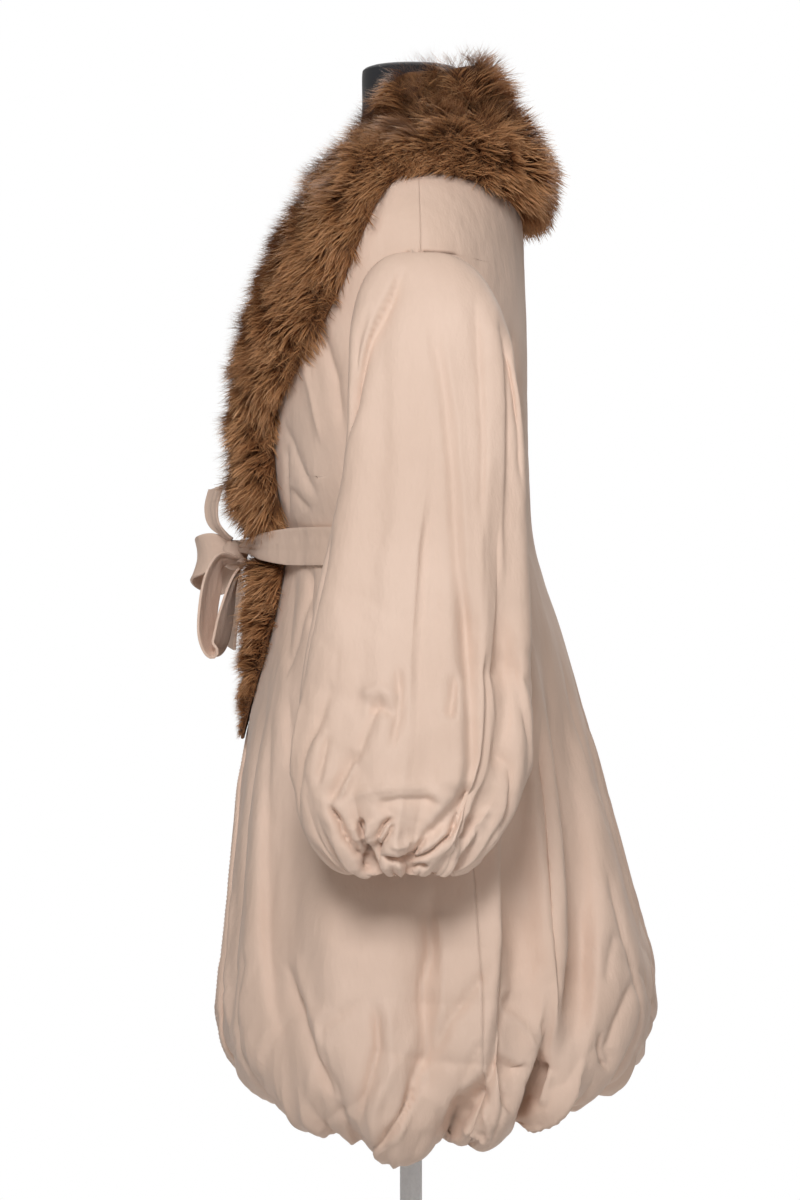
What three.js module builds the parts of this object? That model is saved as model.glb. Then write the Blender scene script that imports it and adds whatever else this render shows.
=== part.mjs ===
// A beige balloon-sleeved coat with a fur shawl collar, tied with a sash, on a limbless dress form with a stand.
// Units are millimetres. Z is up, the front of the coat faces -Y and the wearer's left is +X.
// The origin is the centre of the stand's underside, so every height is above the floor.
import * as THREE from "three";

const CLOTH_WALL = 2;
const SEAM_GAP = 0.3;
const RIBBON_WALL = 2.4;
const FORM_CLEARANCE = 2.4;
const FUR_SEAT = 2.7;

const LEFT = 1;
const RIGHT = -1;
const DEGREE = Math.PI / 180;

// Rings of the coat's outer surface, from the top of the collar's stand to the turned-up hem.
// halfWidth is along X, front and back are along Y, and the heights are of the ring's front, sides and back.
// rise is how the height changes from side to front or back: 2 softly, 1 straight away.
const BODY = [
  { halfWidth: 60, front: 56, back: 64, zFront: 1425, zSide: 1486, zBack: 1500, squareness: 2, rise: 2 },
  { halfWidth: 84, front: 62, back: 74, zFront: 1408, zSide: 1428, zBack: 1434, squareness: 2, rise: 2 },
  { halfWidth: 142, front: 94, back: 96, zFront: 1352, zSide: 1402, zBack: 1398, squareness: 2.1, rise: 2 },
  { halfWidth: 200, front: 118, back: 108, zFront: 1292, zSide: 1362, zBack: 1350, squareness: 2.2, rise: 2 },
  { halfWidth: 234, front: 134, back: 113, zFront: 1235, zSide: 1294, zBack: 1282, squareness: 2.3, rise: 2 },
  { halfWidth: 242, front: 144, back: 116, zFront: 1160, zSide: 1190, zBack: 1186, squareness: 2.35, rise: 2 },
  { halfWidth: 238, front: 140, back: 118, zFront: 1085, zSide: 1085, zBack: 1085, squareness: 2.3, rise: 2 },
  { halfWidth: 224, front: 131, back: 124, zFront: 1020, zSide: 1020, zBack: 1020, squareness: 2.25, rise: 2 },
  { halfWidth: 230, front: 145, back: 151, zFront: 930, zSide: 930, zBack: 930, squareness: 2.2, rise: 2 },
  { halfWidth: 246, front: 169, back: 187, zFront: 810, zSide: 810, zBack: 810, squareness: 2.2, rise: 2 },
  { halfWidth: 264, front: 183, back: 221, zFront: 690, zSide: 690, zBack: 690, squareness: 2.2, rise: 2 },
  { halfWidth: 280, front: 191, back: 244, zFront: 602, zSide: 588, zBack: 608, squareness: 2.2, rise: 1.7 },
  { halfWidth: 287, front: 191, back: 244, zFront: 540, zSide: 508, zBack: 546, squareness: 2.15, rise: 1.4 },
  { halfWidth: 276, front: 174, back: 226, zFront: 502, zSide: 455, zBack: 508, squareness: 2.1, rise: 1.35 },
  { halfWidth: 252, front: 146, back: 196, zFront: 487, zSide: 434, zBack: 495, squareness: 2.1, rise: 1.35 },
  { halfWidth: 230, front: 124, back: 174, zFront: 503, zSide: 450, zBack: 511, squareness: 2.1, rise: 1.35 },
  { halfWidth: 218, front: 113, back: 161, zFront: 534, zSide: 484, zBack: 543, squareness: 2.1, rise: 1.35 },
];
const NECKLINE_LEVEL = 1;
const ARMHOLE_TOP_LEVEL = 4;
const UNDERARM_LEVEL = 6;
const WAIST_LEVEL = 7;
const HIP_LEVEL = 10;
const HEM_LEVEL = BODY.length - 1;

// The armhole is a full oval on the coat's surface, round the line of the shoulder and side seams.
// A fullness of 1 is a plain oval, and less is flatter at its top.
const ARMHOLE_FRONT_ANGLE = 25;
const ARMHOLE_BACK_ANGLE = 36;
const ARMHOLE_FULLNESS = 0.7;
const SHOULDER_SEAM_ANGLE = 93;
const SIDE_SEAM_ANGLE = 103.5;
const ARMHOLE_STEPS = 8;

// The front edges run down the V of the lapels and then down the centre front.
const FRONT_EDGE = [
  { level: 1, angle: 58 },
  { level: 2, angle: 30 },
  { level: 3, angle: 12 },
  { level: 4, angle: 1.5 },
  { level: 4.5, angle: 0.04 },
  { level: 16, angle: 0.04 },
];
const OVERLAP_ANGLE = 9;
const OVERLAP_FROM = 8.9;
const OVERLAP_FULL = 9.6;
const UNDERLAP_DEPTH = 5.5;

// Stitches of the bubble hem round the left half, 0 at the centre front and 180 at the centre back.
// depth is how far a stitch pulls the cloth in, and reach the level where its valley starts.
const HEM_GATHERS = [
  { angle: -14, depth: 14, reach: 12.2 },
  { angle: 12, depth: 14, reach: 12.2 },
  { angle: 39, depth: 18, reach: 11.6 },
  { angle: 70, depth: 26, reach: 11 },
  { angle: 99.5, depth: 44, reach: 11.2 },
  { angle: 120.5, depth: 50, reach: 10.4 },
  { angle: 136, depth: 20, reach: 11.8 },
  { angle: 149, depth: 26, reach: 11.3 },
  { angle: 165, depth: 18, reach: 12 },
  { angle: 182, depth: 22, reach: 11.6 },
  { angle: 198, depth: 16, reach: 12.2 },
  { angle: 213, depth: 28, reach: 11.4 },
  { angle: 230, depth: 20, reach: 11.8 },
  { angle: 247, depth: 38, reach: 10.8 },
  { angle: 268, depth: 24, reach: 11.4 },
  { angle: 293, depth: 30, reach: 11.1 },
  { angle: 321, depth: 18, reach: 11.8 },
  { angle: 346, depth: 14, reach: 12.2 },
  { angle: 372, depth: 14, reach: 12.2 },
];
const HEM_LIFT_SHARE = 0.42;

// Long soft folds of the skirt. A positive depth stands out and a negative one is a valley.
// A fold is at its angle on the ring of the hips, and drift is how far it turns with each ring below.
const SKIRT_FOLDS = [
  { angle: 37, drift: 0, width: 6, depth: 8, from: 7.8, full: 9 },
  { angle: 52, drift: 1, width: 8, depth: -8, from: 7.6, full: 9.5 },
  { angle: 68, drift: 2, width: 7, depth: 5, from: 8.2, full: 10 },
  { angle: 94, drift: -1, width: 5.5, depth: -10, from: 8.8, full: 10.4 },
  { angle: 110, drift: -1, width: 5.5, depth: 12, from: 8, full: 10 },
  { angle: 117, drift: -1, width: 5.5, depth: -15, from: 8.4, full: 10.4 },
  { angle: 126, drift: -4.5, width: 5.5, depth: 13, from: 7.4, full: 9.2 },
  { angle: 134, drift: -5, width: 5.5, depth: -14, from: 7.6, full: 9.6 },
  { angle: 150, drift: -2, width: 8, depth: 6, from: 8, full: 10 },
  { angle: 166, drift: 0, width: 7, depth: -6, from: 8, full: 10 },
  { angle: 194, drift: 1, width: 7, depth: -8, from: 8, full: 10 },
  { angle: 210, drift: 2, width: 6, depth: 9, from: 7.6, full: 9.6 },
  { angle: 221, drift: 3, width: 6, depth: -12, from: 7.8, full: 9.8 },
  { angle: 243, drift: 2, width: 6, depth: 11, from: 8, full: 10 },
  { angle: 258, drift: 1, width: 5.5, depth: -12, from: 8.4, full: 10.2 },
  { angle: 284, drift: 0, width: 7, depth: 6, from: 8.4, full: 10.2 },
  { angle: 303, drift: -2, width: 9, depth: -9, from: 7.8, full: 9.6 },
  { angle: 324, drift: 0, width: 7, depth: 8, from: 7.8, full: 9.4 },
];

// Rings of the left sleeve: the outer and inner points of each, and its front and back.
const SLEEVE = [
  { xOuter: 238, zOuter: 1295, xInner: 240, zInner: 1088, yFront: -54, yBack: 88, squareness: 2.8 },
  { xOuter: 252, zOuter: 1284, xInner: 251, zInner: 1091, yFront: -58, yBack: 92, squareness: 3 },
  { xOuter: 268, zOuter: 1248, xInner: 252, zInner: 1078, yFront: -59, yBack: 97, squareness: 3 },
  { xOuter: 283, zOuter: 1195, xInner: 250, zInner: 1057, yFront: -61, yBack: 103, squareness: 2.8 },
  { xOuter: 295, zOuter: 1132, xInner: 246, zInner: 1025, yFront: -66, yBack: 107, squareness: 2.5 },
  { xOuter: 309, zOuter: 1062, xInner: 242, zInner: 985, yFront: -77, yBack: 109, squareness: 2.3 },
  { xOuter: 326, zOuter: 985, xInner: 242, zInner: 935, yFront: -91, yBack: 111, squareness: 2.3 },
  { xOuter: 345, zOuter: 910, xInner: 246, zInner: 880, yFront: -102, yBack: 112, squareness: 2.3 },
  { xOuter: 362, zOuter: 845, xInner: 254, zInner: 828, yFront: -108, yBack: 111, squareness: 2.3 },
  { xOuter: 371, zOuter: 792, xInner: 262, zInner: 782, yFront: -107, yBack: 100, squareness: 2.2 },
  { xOuter: 370, zOuter: 750, xInner: 267, zInner: 746, yFront: -97, yBack: 80, squareness: 2.1 },
  { xOuter: 361, zOuter: 724, xInner: 272, zInner: 723, yFront: -78, yBack: 61, squareness: 2 },
  { xOuter: 349, zOuter: 713, xInner: 280, zInner: 714, yFront: -57, yBack: 43, squareness: 2 },
  { xOuter: 345, zOuter: 722, xInner: 281, zInner: 722, yFront: -46, yBack: 32, squareness: 2 },
  { xOuter: 344, zOuter: 742, xInner: 281, zInner: 742, yFront: -45, yBack: 31, squareness: 2 },
];
const SLEEVE_END_LEVEL = SLEEVE.length - 1;
const SEAM_PUFF = 8;

// Gathers at the cuff, round the ring from its outer point to the back, the inner side and the front.
const CUFF_GATHERS = [
  { angle: -30, depth: 24, reach: 8.6 },
  { angle: 4, depth: 16, reach: 9.2 },
  { angle: 33, depth: 13, reach: 9.8 },
  { angle: 60, depth: 19, reach: 8.8 },
  { angle: 90, depth: 11, reach: 10 },
  { angle: 118, depth: 13, reach: 9.4 },
  { angle: 147, depth: 10, reach: 9.8 },
  { angle: 176, depth: 12, reach: 9.6 },
  { angle: 205, depth: 10, reach: 10 },
  { angle: 232, depth: 12, reach: 9.6 },
  { angle: 258, depth: 15, reach: 9.2 },
  { angle: 281, depth: 12, reach: 9.8 },
  { angle: 304, depth: 17, reach: 9.2 },
  { angle: 330, depth: 24, reach: 8.6 },
  { angle: 364, depth: 16, reach: 9.2 },
];

// Long folds of the sleeve, with the same columns as the skirt's.
const SLEEVE_FOLDS = [
  { angle: 52, drift: -1, width: 9, depth: -8, from: 1.4, full: 4 },
  { angle: 32, drift: 1, width: 9, depth: 6, from: 2, full: 5 },
  { angle: 330, drift: 0, width: 11, depth: -6, from: 1.2, full: 3 },
  { angle: 10, drift: 2, width: 8, depth: -5, from: 4, full: 6 },
];

// Stations of the shawl collar from the centre back to its tip, as angles and levels on the coat's rings.
// fur is the pile's height over the cloth at that station, and lean where across it the pile is highest.
const COLLAR = [
  { innerAngle: 180, innerLevel: 0, outerAngle: 180, outerLevel: 3, fur: 58, lean: 0.57 },
  { innerAngle: 150, innerLevel: 0, outerAngle: 150, outerLevel: 2.96, fur: 55, lean: 0.57 },
  { innerAngle: 120, innerLevel: 0, outerAngle: 120, outerLevel: 2.82, fur: 46, lean: 0.56 },
  { innerAngle: 95, innerLevel: 0, outerAngle: 93, outerLevel: 2.74, fur: 38, lean: 0.54 },
  { innerAngle: 74, innerLevel: 0.1, outerAngle: 80, outerLevel: 3.1, fur: 34, lean: 0.5 },
  { innerAngle: 56, innerLevel: 0.45, outerAngle: 71, outerLevel: 3.8, fur: 33, lean: 0.5 },
  { innerAngle: 40, innerLevel: 1.2, outerAngle: 64, outerLevel: 4.25, fur: 35, lean: 0.5 },
  { innerAngle: 24, innerLevel: 2.2, outerAngle: 55, outerLevel: 4.6, fur: 38, lean: 0.5 },
  { innerAngle: 10, innerLevel: 3.2, outerAngle: 43, outerLevel: 4.9, fur: 42, lean: 0.5 },
  { innerAngle: 1, innerLevel: 4.1, outerAngle: 31, outerLevel: 5.15, fur: 46, lean: 0.5 },
  { innerAngle: 0.1, innerLevel: 4.9, outerAngle: 25, outerLevel: 5.5, fur: 48, lean: 0.5 },
  { innerAngle: 0.1, innerLevel: 5.7, outerAngle: 23.5, outerLevel: 6, fur: 48, lean: 0.5 },
  { innerAngle: 0.1, innerLevel: 6.3, outerAngle: 23, outerLevel: 6.4, fur: 45, lean: 0.5 },
  { innerAngle: 0.1, innerLevel: 6.62, outerAngle: 23, outerLevel: 6.66, fur: 26, lean: 0.5 },
  { innerAngle: 0.1, innerLevel: 6.76, outerAngle: 23, outerLevel: 6.78, fur: 17, lean: 0.5 },
  { innerAngle: 0.1, innerLevel: 7.16, outerAngle: 24, outerLevel: 7.16, fur: 17, lean: 0.5 },
  { innerAngle: 0.1, innerLevel: 7.34, outerAngle: 24, outerLevel: 7.34, fur: 22, lean: 0.5 },
  { innerAngle: 0.1, innerLevel: 7.75, outerAngle: 23, outerLevel: 7.75, fur: 24, lean: 0.5 },
  { innerAngle: 0.1, innerLevel: 8.2, outerAngle: 18, outerLevel: 8.2, fur: 20, lean: 0.5 },
  { innerAngle: 0.1, innerLevel: 8.58, outerAngle: 10, outerLevel: 8.58, fur: 13, lean: 0.5 },
  { innerAngle: 0.1, innerLevel: 8.85, outerAngle: 3, outerLevel: 8.85, fur: 5, lean: 0.5 },
];
const FUR_ROUNDING = 0.42;
const LAST_FUR_STATION = COLLAR.length - 1;

// The sash runs forward from each side seam over the cloth and then over the fur, to the knot.
const SASH_WIDTH = 38;
const SASH_PATH = [
  { angle: 101, lift: 2, share: 1 },
  { angle: 96, lift: 2, share: 1 },
  { angle: 90, lift: 2, share: 1 },
  { angle: 82, lift: 2, share: 1 },
  { angle: 74, lift: 2, share: 1 },
  { angle: 66, lift: 2, share: 1 },
  { angle: 58, lift: 2, share: 1 },
  { angle: 50, lift: 2, share: 1 },
  { angle: 42, lift: 2, share: 1 },
  { angle: 34, lift: 7, share: 1 },
  { angle: 27, lift: 14, share: 0.92 },
  { angle: 19, lift: 21, share: 0.8 },
  { angle: 11, lift: 24, share: 0.64 },
  { angle: 5, lift: 28, share: 0.5 },
  { angle: 1.45, lift: 38, share: 0.44 },
];
const SASH_LEVELS = 0.5;

// Ribbons of the bow: the middle of each stretch, the direction across the ribbon, and its share of the full width.
const DROOPING_LOOP = [
  { x: 15, y: -174, z: 1008, across: [0.9, 0.2, 0.3], share: 0.4 },
  { x: 24, y: -190, z: 1006, across: [0.85, -0.1, 0.5], share: 0.72 },
  { x: 35, y: -198, z: 986, across: [0.88, -0.4, 0.2], share: 0.95 },
  { x: 40, y: -203, z: 956, across: [0.9, -0.42, 0.1], share: 1 },
  { x: 42, y: -203, z: 930, across: [0.9, -0.42, 0], share: 1 },
  { x: 41, y: -196, z: 915, across: [0.92, -0.38, -0.1], share: 1 },
  { x: 38, y: -188, z: 924, across: [0.92, -0.36, 0], share: 1 },
  { x: 34, y: -182, z: 950, across: [0.92, -0.34, 0.05], share: 0.95 },
  { x: 26, y: -176, z: 978, across: [0.9, -0.2, 0.1], share: 0.7 },
  { x: 14, y: -171, z: 994, across: [0.9, 0, 0.1], share: 0.4 },
];
const FORWARD_LOOP = [
  { x: -11, y: -178, z: 1016, across: [0.1, 0.1, 1], share: 0.4 },
  { x: -16, y: -196, z: 1019, across: [0.2, 0.1, 1], share: 0.8 },
  { x: -24, y: -207, z: 1014, across: [0.3, 0.1, 1], share: 1 },
  { x: -40, y: -214, z: 1005, across: [0.2, 0.2, 1], share: 1 },
  { x: -58, y: -209, z: 996, across: [0, 0.25, 1], share: 1 },
  { x: -66, y: -196, z: 991, across: [-0.1, 0.3, 1], share: 1 },
  { x: -56, y: -186, z: 993, across: [-0.1, 0.2, 1], share: 0.95 },
  { x: -36, y: -178, z: 1000, across: [0, 0.1, 1], share: 0.75 },
  { x: -15, y: -173, z: 1006, across: [0, 0, 1], share: 0.4 },
];
const RISING_END = [
  { x: 1, y: -178, z: 1028.4, across: [0.95, 0.2, 0], share: 0.4 },
  { x: 0, y: -194, z: 1043, across: [0.9, 0.45, 0], share: 0.6 },
  { x: -5, y: -198, z: 1060, across: [0.9, 0.45, 0], share: 0.75 },
  { x: -11, y: -194, z: 1079, across: [0.88, 0.5, 0.05], share: 0.75 },
];
const HANGING_END = [
  { x: -1, y: -173, z: 996.6, across: [0.95, 0.2, 0], share: 0.4 },
  { x: -7, y: -173, z: 980, across: [0.95, 0.2, 0], share: 0.8 },
  { x: -12, y: -177, z: 960, across: [0.95, 0.25, 0], share: 1 },
  { x: -16, y: -182, z: 940, across: [0.93, 0.3, 0], share: 1 },
  { x: -19, y: -184, z: 920, across: [0.93, 0.3, 0.05], share: 1 },
];
const KNOT = { x: 0, y: -176, z: 1012, halfWidth: 9, halfDepth: 13, halfHeight: 15 };

// The dress form: its neck, its shoulders just under the coat, and its torso down to the pole.
const FORM_NECK = [
  { halfWidth: 40, front: 40, back: 40, zFront: 1500, zSide: 1500, zBack: 1500, squareness: 2, rise: 2 },
  { halfWidth: 47, front: 47, back: 47, zFront: 1497, zSide: 1497, zBack: 1497, squareness: 2, rise: 2 },
  { halfWidth: 50, front: 49, back: 49, zFront: 1490, zSide: 1490, zBack: 1490, squareness: 2, rise: 2 },
  { halfWidth: 52, front: 49, back: 51, zFront: 1455, zSide: 1456, zBack: 1458, squareness: 2, rise: 2 },
  { halfWidth: 62, front: 52, back: 58, zFront: 1412, zSide: 1430, zBack: 1432, squareness: 2, rise: 2 },
];
const FORM_SHOULDER_LEVELS = [1.5, 2, 2.4, 2.75];
const FORM_TORSO = [
  { halfWidth: 189, front: 116, back: 101, zFront: 1280, zSide: 1336, zBack: 1322, squareness: 2.2, rise: 2 },
  { halfWidth: 180, front: 122, back: 98, zFront: 1225, zSide: 1270, zBack: 1255, squareness: 2.2, rise: 2 },
  { halfWidth: 166, front: 124, back: 92, zFront: 1160, zSide: 1180, zBack: 1170, squareness: 2.2, rise: 2 },
  { halfWidth: 140, front: 100, back: 82, zFront: 1080, zSide: 1080, zBack: 1080, squareness: 2.1, rise: 2 },
  { halfWidth: 122, front: 84, back: 78, zFront: 1020, zSide: 1020, zBack: 1020, squareness: 2.1, rise: 2 },
  { halfWidth: 148, front: 98, back: 98, zFront: 930, zSide: 930, zBack: 930, squareness: 2.1, rise: 2 },
  { halfWidth: 166, front: 106, back: 112, zFront: 850, zSide: 850, zBack: 850, squareness: 2.1, rise: 2 },
  { halfWidth: 164, front: 104, back: 108, zFront: 790, zSide: 790, zBack: 790, squareness: 2.1, rise: 2 },
  { halfWidth: 154, front: 96, back: 98, zFront: 772, zSide: 772, zBack: 772, squareness: 2.1, rise: 2 },
];
const FORM_BASE_HEIGHT = 772;

const POLE_RADIUS = 11;
const BASE_RADIUS = 175;
const BASE_THICKNESS = 10;
const BASE_CHAMFER = 3;
const SOCKET_RADIUS = 19;
const SOCKET_HEIGHT = 46;

const clothMaterial = new THREE.MeshStandardMaterial({ color: 0xd8bfa8, roughness: 0.68, metalness: 0 });
const furMaterial = new THREE.MeshStandardMaterial({ color: 0x7a5434, roughness: 0.9, metalness: 0 });
const formMaterial = new THREE.MeshStandardMaterial({ color: 0x1e2125, roughness: 0.75, metalness: 0 });
const standMaterial = new THREE.MeshStandardMaterial({ color: 0xe9eaec, roughness: 0.4, metalness: 0.3 });

const smoothstep = (low, high, value) => THREE.MathUtils.smoothstep(value, low, high);

/** One column of a table at a fractional row, on a smooth curve through the rows. */
function column(table, key, row) {
  const index = THREE.MathUtils.clamp(Math.floor(row), 0, table.length - 2);
  const along = row - index;
  const at = (k) => table[THREE.MathUtils.clamp(k, 0, table.length - 1)][key];
  const [before, start, end, after] = [at(index - 1), at(index), at(index + 1), at(index + 2)];
  const bend = 2 * before - 5 * start + 4 * end - after + along * (3 * (start - end) + after - before);
  return start + 0.5 * along * (end - before + along * bend);
}

/** A value read between the rows of a table by the rows' own level. */
function atLevel(table, key, level) {
  const next = Math.max(table.findIndex((row) => row.level >= level), 1);
  const [a, b] = [table[next - 1], table[next]];
  return THREE.MathUtils.mapLinear(level, a.level, b.level, a[key], b[key]);
}

/** A point on the ring of a table of oval rings, at an angle from the front through the wearer's left. */
function ringPoint(table, angle, row) {
  const side = Math.sin(angle * DEGREE);
  const ahead = Math.cos(angle * DEGREE);
  const power = 2 / column(table, "squareness", row);
  const depth = column(table, ahead > 0 ? "front" : "back", row);
  const zSide = column(table, "zSide", row);
  const zEnd = column(table, ahead > 0 ? "zFront" : "zBack", row);
  return new THREE.Vector3(
    column(table, "halfWidth", row) * Math.sign(side) * Math.abs(side) ** power,
    -depth * Math.sign(ahead) * Math.abs(ahead) ** power,
    zSide + (zEnd - zSide) * Math.abs(ahead) ** column(table, "rise", row),
  );
}

/** The nearest two gathers round an angle: 0 at a stitch and 1 at the crown of the puff, and the pull there. */
function gatherAt(gathers, angle, row) {
  const next = gathers.findIndex((gather) => gather.angle > angle);
  const [a, b] = [gathers[next - 1], gathers[next]];
  const share = (angle - a.angle) / (b.angle - a.angle);
  const depth = THREE.MathUtils.lerp(a.depth, b.depth, share);
  const reach = THREE.MathUtils.lerp(a.reach, b.reach, share);
  const crown = Math.sin(Math.PI * share) ** 0.6;
  return (1 - crown) * depth * smoothstep(reach, reach + 2.6, row);
}

/** The sum of the long folds at an angle and row. */
function foldAt(folds, angle, row) {
  return folds.reduce((sum, fold) => {
    const away = (angle - fold.angle - fold.drift * (row - HIP_LEVEL)) / fold.width;
    return sum + fold.depth * Math.exp(-away * away) * smoothstep(fold.from, fold.full, row);
  }, 0);
}

/** A point on the coat's outer surface. Angles run from the centre front, through the wearer's left, to 360. */
function coatPoint(angle, level) {
  const point = ringPoint(BODY, angle, level);
  const turn = ((angle % 360) + 360) % 360;
  const pull = gatherAt(HEM_GATHERS, turn, level);
  const fade = 1 - smoothstep(11.5, 14, level);
  const out = foldAt(SKIRT_FOLDS, turn, level) * fade - pull;
  const flat = Math.hypot(point.x, point.y);
  return point.add(new THREE.Vector3((point.x / flat) * out, (point.y / flat) * out, pull * HEM_LIFT_SHARE));
}

/** The outward normal of a surface of two values, whose first runs round it and whose second runs down it. */
function normalOf(surface, a, b, stepA, stepB) {
  const across = surface(a + stepA, b).sub(surface(a - stepA, b));
  const down = surface(a, b + stepB).sub(surface(a, b - stepB));
  return down.cross(across).normalize();
}

const coatNormal = (angle, level) => normalOf(coatPoint, angle, level, 0.15, 0.02);

/** The angle of the shoulder seam, and below it of the side seam. */
function seamAngle(level) {
  return THREE.MathUtils.lerp(
    SHOULDER_SEAM_ANGLE,
    SIDE_SEAM_ANGLE,
    smoothstep(ARMHOLE_TOP_LEVEL, UNDERARM_LEVEL, level),
  );
}

/** How far the armhole reaches from the seam's line at a level, as a share of its widest. */
function armholeShare(level) {
  const middle = (ARMHOLE_TOP_LEVEL + UNDERARM_LEVEL) / 2;
  const away = (level - middle) / (UNDERARM_LEVEL - middle);
  return Math.max(0, 1 - away * away) ** (ARMHOLE_FULLNESS / 2);
}

/** A point of the coat's surface on the armhole's edge, turning from its top through the back. */
function armholePoint(turn, lift) {
  const middle = (ARMHOLE_TOP_LEVEL + UNDERARM_LEVEL) / 2;
  const shrink = 0.994;
  const level = middle - Math.cos(turn * DEGREE) * (UNDERARM_LEVEL - middle) * shrink;
  const across = Math.sin(turn * DEGREE);
  const reach = Math.sign(across) * Math.abs(across) ** ARMHOLE_FULLNESS * shrink;
  const angle = seamAngle(level) + reach * (reach > 0 ? ARMHOLE_BACK_ANGLE : ARMHOLE_FRONT_ANGLE);
  return coatPoint(angle, level).addScaledVector(coatNormal(angle, level), lift);
}

/** A point on the left sleeve's outer surface, at a turn from its outer side through the back. */
function sleevePoint(turn, level) {
  const over = Math.cos(turn * DEGREE);
  const back = Math.sin(turn * DEGREE);
  const power = 2 / column(SLEEVE, "squareness", level);
  const at = (key) => column(SLEEVE, key, level);
  const outer = new THREE.Vector3(at("xOuter"), 0, at("zOuter"));
  const inner = new THREE.Vector3(at("xInner"), 0, at("zInner"));
  const middle = outer.clone().add(inner).multiplyScalar(0.5).setY((at("yFront") + at("yBack")) / 2);
  const spoke = outer.sub(inner).multiplyScalar(0.5 * Math.sign(over) * Math.abs(over) ** power);
  spoke.y = ((at("yBack") - at("yFront")) / 2) * Math.sign(back) * Math.abs(back) ** power;
  const around = ((turn % 360) + 360) % 360;
  const fade = 1 - smoothstep(9.5, 12, level);
  const pull = gatherAt(CUFF_GATHERS, around, level) * (1 - 0.62 * smoothstep(11.9, 13.2, level));
  const out = foldAt(SLEEVE_FOLDS, around, level) * fade - pull;
  const point = middle.addScaledVector(spoke, 1 + out / spoke.length());
  point.z += pull * HEM_LIFT_SHARE;
  const blend = smoothstep(0.7, 2.4, level);
  return blend < 1 ? armholePoint(turn, -1 + SEAM_PUFF * level).lerp(point, blend) : point;
}

const sleeveNormal = (turn, level) =>
  normalOf(sleevePoint, turn, THREE.MathUtils.clamp(level, 0.05, SLEEVE_END_LEVEL - 0.05), 0.5, 0.04);

/** Triangles between two rows of point numbers, which may have different lengths. */
function zipRows(upper, lower) {
  const triangles = [];
  let [i, j] = [0, 0];
  while (i < upper.length - 1 || j < lower.length - 1) {
    const upperNext = i < upper.length - 1 ? (i + 1) / (upper.length - 1) : Infinity;
    const lowerNext = j < lower.length - 1 ? (j + 1) / (lower.length - 1) : Infinity;
    if (upperNext < lowerNext) {
      triangles.push([upper[i], lower[j], upper[i + 1]]);
      i += 1;
    } else {
      triangles.push([upper[i], lower[j], lower[j + 1]]);
      j += 1;
    }
  }
  return triangles;
}

/** A closed geometry from points and triangles. */
function closedGeometry(points, triangles) {
  const geometry = new THREE.BufferGeometry().setFromPoints(points);
  geometry.setIndex(triangles.flat());
  geometry.computeVertexNormals();
  return geometry;
}

/** A wall of even thickness, from rows of outer points with their normals. A round row closes on itself. */
function clothWall(rows, thickness, round = false) {
  const outer = rows.flat();
  const starts = rows.map((_, k) => rows.slice(0, k).reduce((sum, row) => sum + row.length, 0));
  const numbers = rows.map((row, k) => {
    const line = row.map((_, j) => starts[k] + j);
    return round ? [...line, starts[k]] : line;
  });
  const skin = numbers.slice(1).flatMap((lower, k) => zipRows(numbers[k], lower));
  const count = outer.length;
  const inner = outer.map(({ point, normal }) => point.clone().addScaledVector(normal, -thickness));
  const open = new Map();
  for (const [a, b, c] of skin) {
    for (const [from, to] of [[a, b], [b, c], [c, a]]) {
      if (!open.delete(`${to},${from}`)) open.set(`${from},${to}`, [from, to]);
    }
  }
  const rim = [...open.values()].flatMap(([from, to]) => [
    [to, from, from + count],
    [to, from + count, to + count],
  ]);
  const lining = skin.map(([a, b, c]) => [a + count, c + count, b + count]);
  return closedGeometry([...outer.map(({ point }) => point), ...inner], [...skin, ...lining, ...rim]);
}

/** A solid from rings with equal counts of points, closed by a fan over each end. */
function loft(rings) {
  const count = rings[0].length;
  const points = rings.flat();
  const triangles = [];
  for (let k = 0; k < rings.length - 1; k += 1) {
    for (let j = 0; j < count; j += 1) {
      const [a, b] = [k * count + j, k * count + ((j + 1) % count)];
      triangles.push([a, a + count, b], [b, a + count, b + count]);
    }
  }
  const centre = (ring) => ring.reduce((sum, point) => sum.add(point), new THREE.Vector3()).divideScalar(count);
  const last = (rings.length - 1) * count;
  points.push(centre(rings[0]), centre(rings[rings.length - 1]));
  for (let j = 0; j < count; j += 1) {
    const next = (j + 1) % count;
    triangles.push([points.length - 2, j, next], [points.length - 1, last + next, last + j]);
  }
  return closedGeometry(points, triangles);
}

/** The same geometry on the wearer's other side. */
function mirrored(geometry) {
  const copy = geometry.clone().scale(-1, 1, 1);
  const index = copy.getIndex();
  for (let i = 0; i < index.count; i += 3) {
    const kept = index.getX(i + 1);
    index.setX(i + 1, index.getX(i + 2));
    index.setX(i + 2, kept);
  }
  copy.computeVertexNormals();
  return copy;
}

const evenly = (count, from, to) =>
  Array.from({ length: count }, (_, k) => THREE.MathUtils.lerp(from, to, k / (count - 1)));

const armholeLevels = Array.from(
  { length: ARMHOLE_STEPS + 1 },
  (_, k) => (ARMHOLE_TOP_LEVEL + UNDERARM_LEVEL) / 2 - Math.cos((k / ARMHOLE_STEPS) * Math.PI),
);
const SHOULDER_LEVELS = [1, 1.5, 2, 2.5, 3, 3.5];
const WAIST_LEVELS = [6.5, 7, 7.5, 8, 8.6, 9.2];
const SKIRT_LEVELS = [9.8, 10.4, 11, 11.5, 12, 12.4, 12.8, 13.2, 13.6, 14, 14.5, 15.2, 16];
const PANEL_LEVELS = [...SHOULDER_LEVELS, ...armholeLevels, ...WAIST_LEVELS, ...SKIRT_LEVELS];

/** The angle of a front's edge: both fronts meet above the trim's end, and the right one laps over below it. */
function frontEdgeAngle(side, level) {
  const lap = smoothstep(OVERLAP_FROM, OVERLAP_FULL, level) * OVERLAP_ANGLE;
  return atLevel(FRONT_EDGE, "angle", level) - (side === RIGHT ? lap : 0);
}

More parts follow.
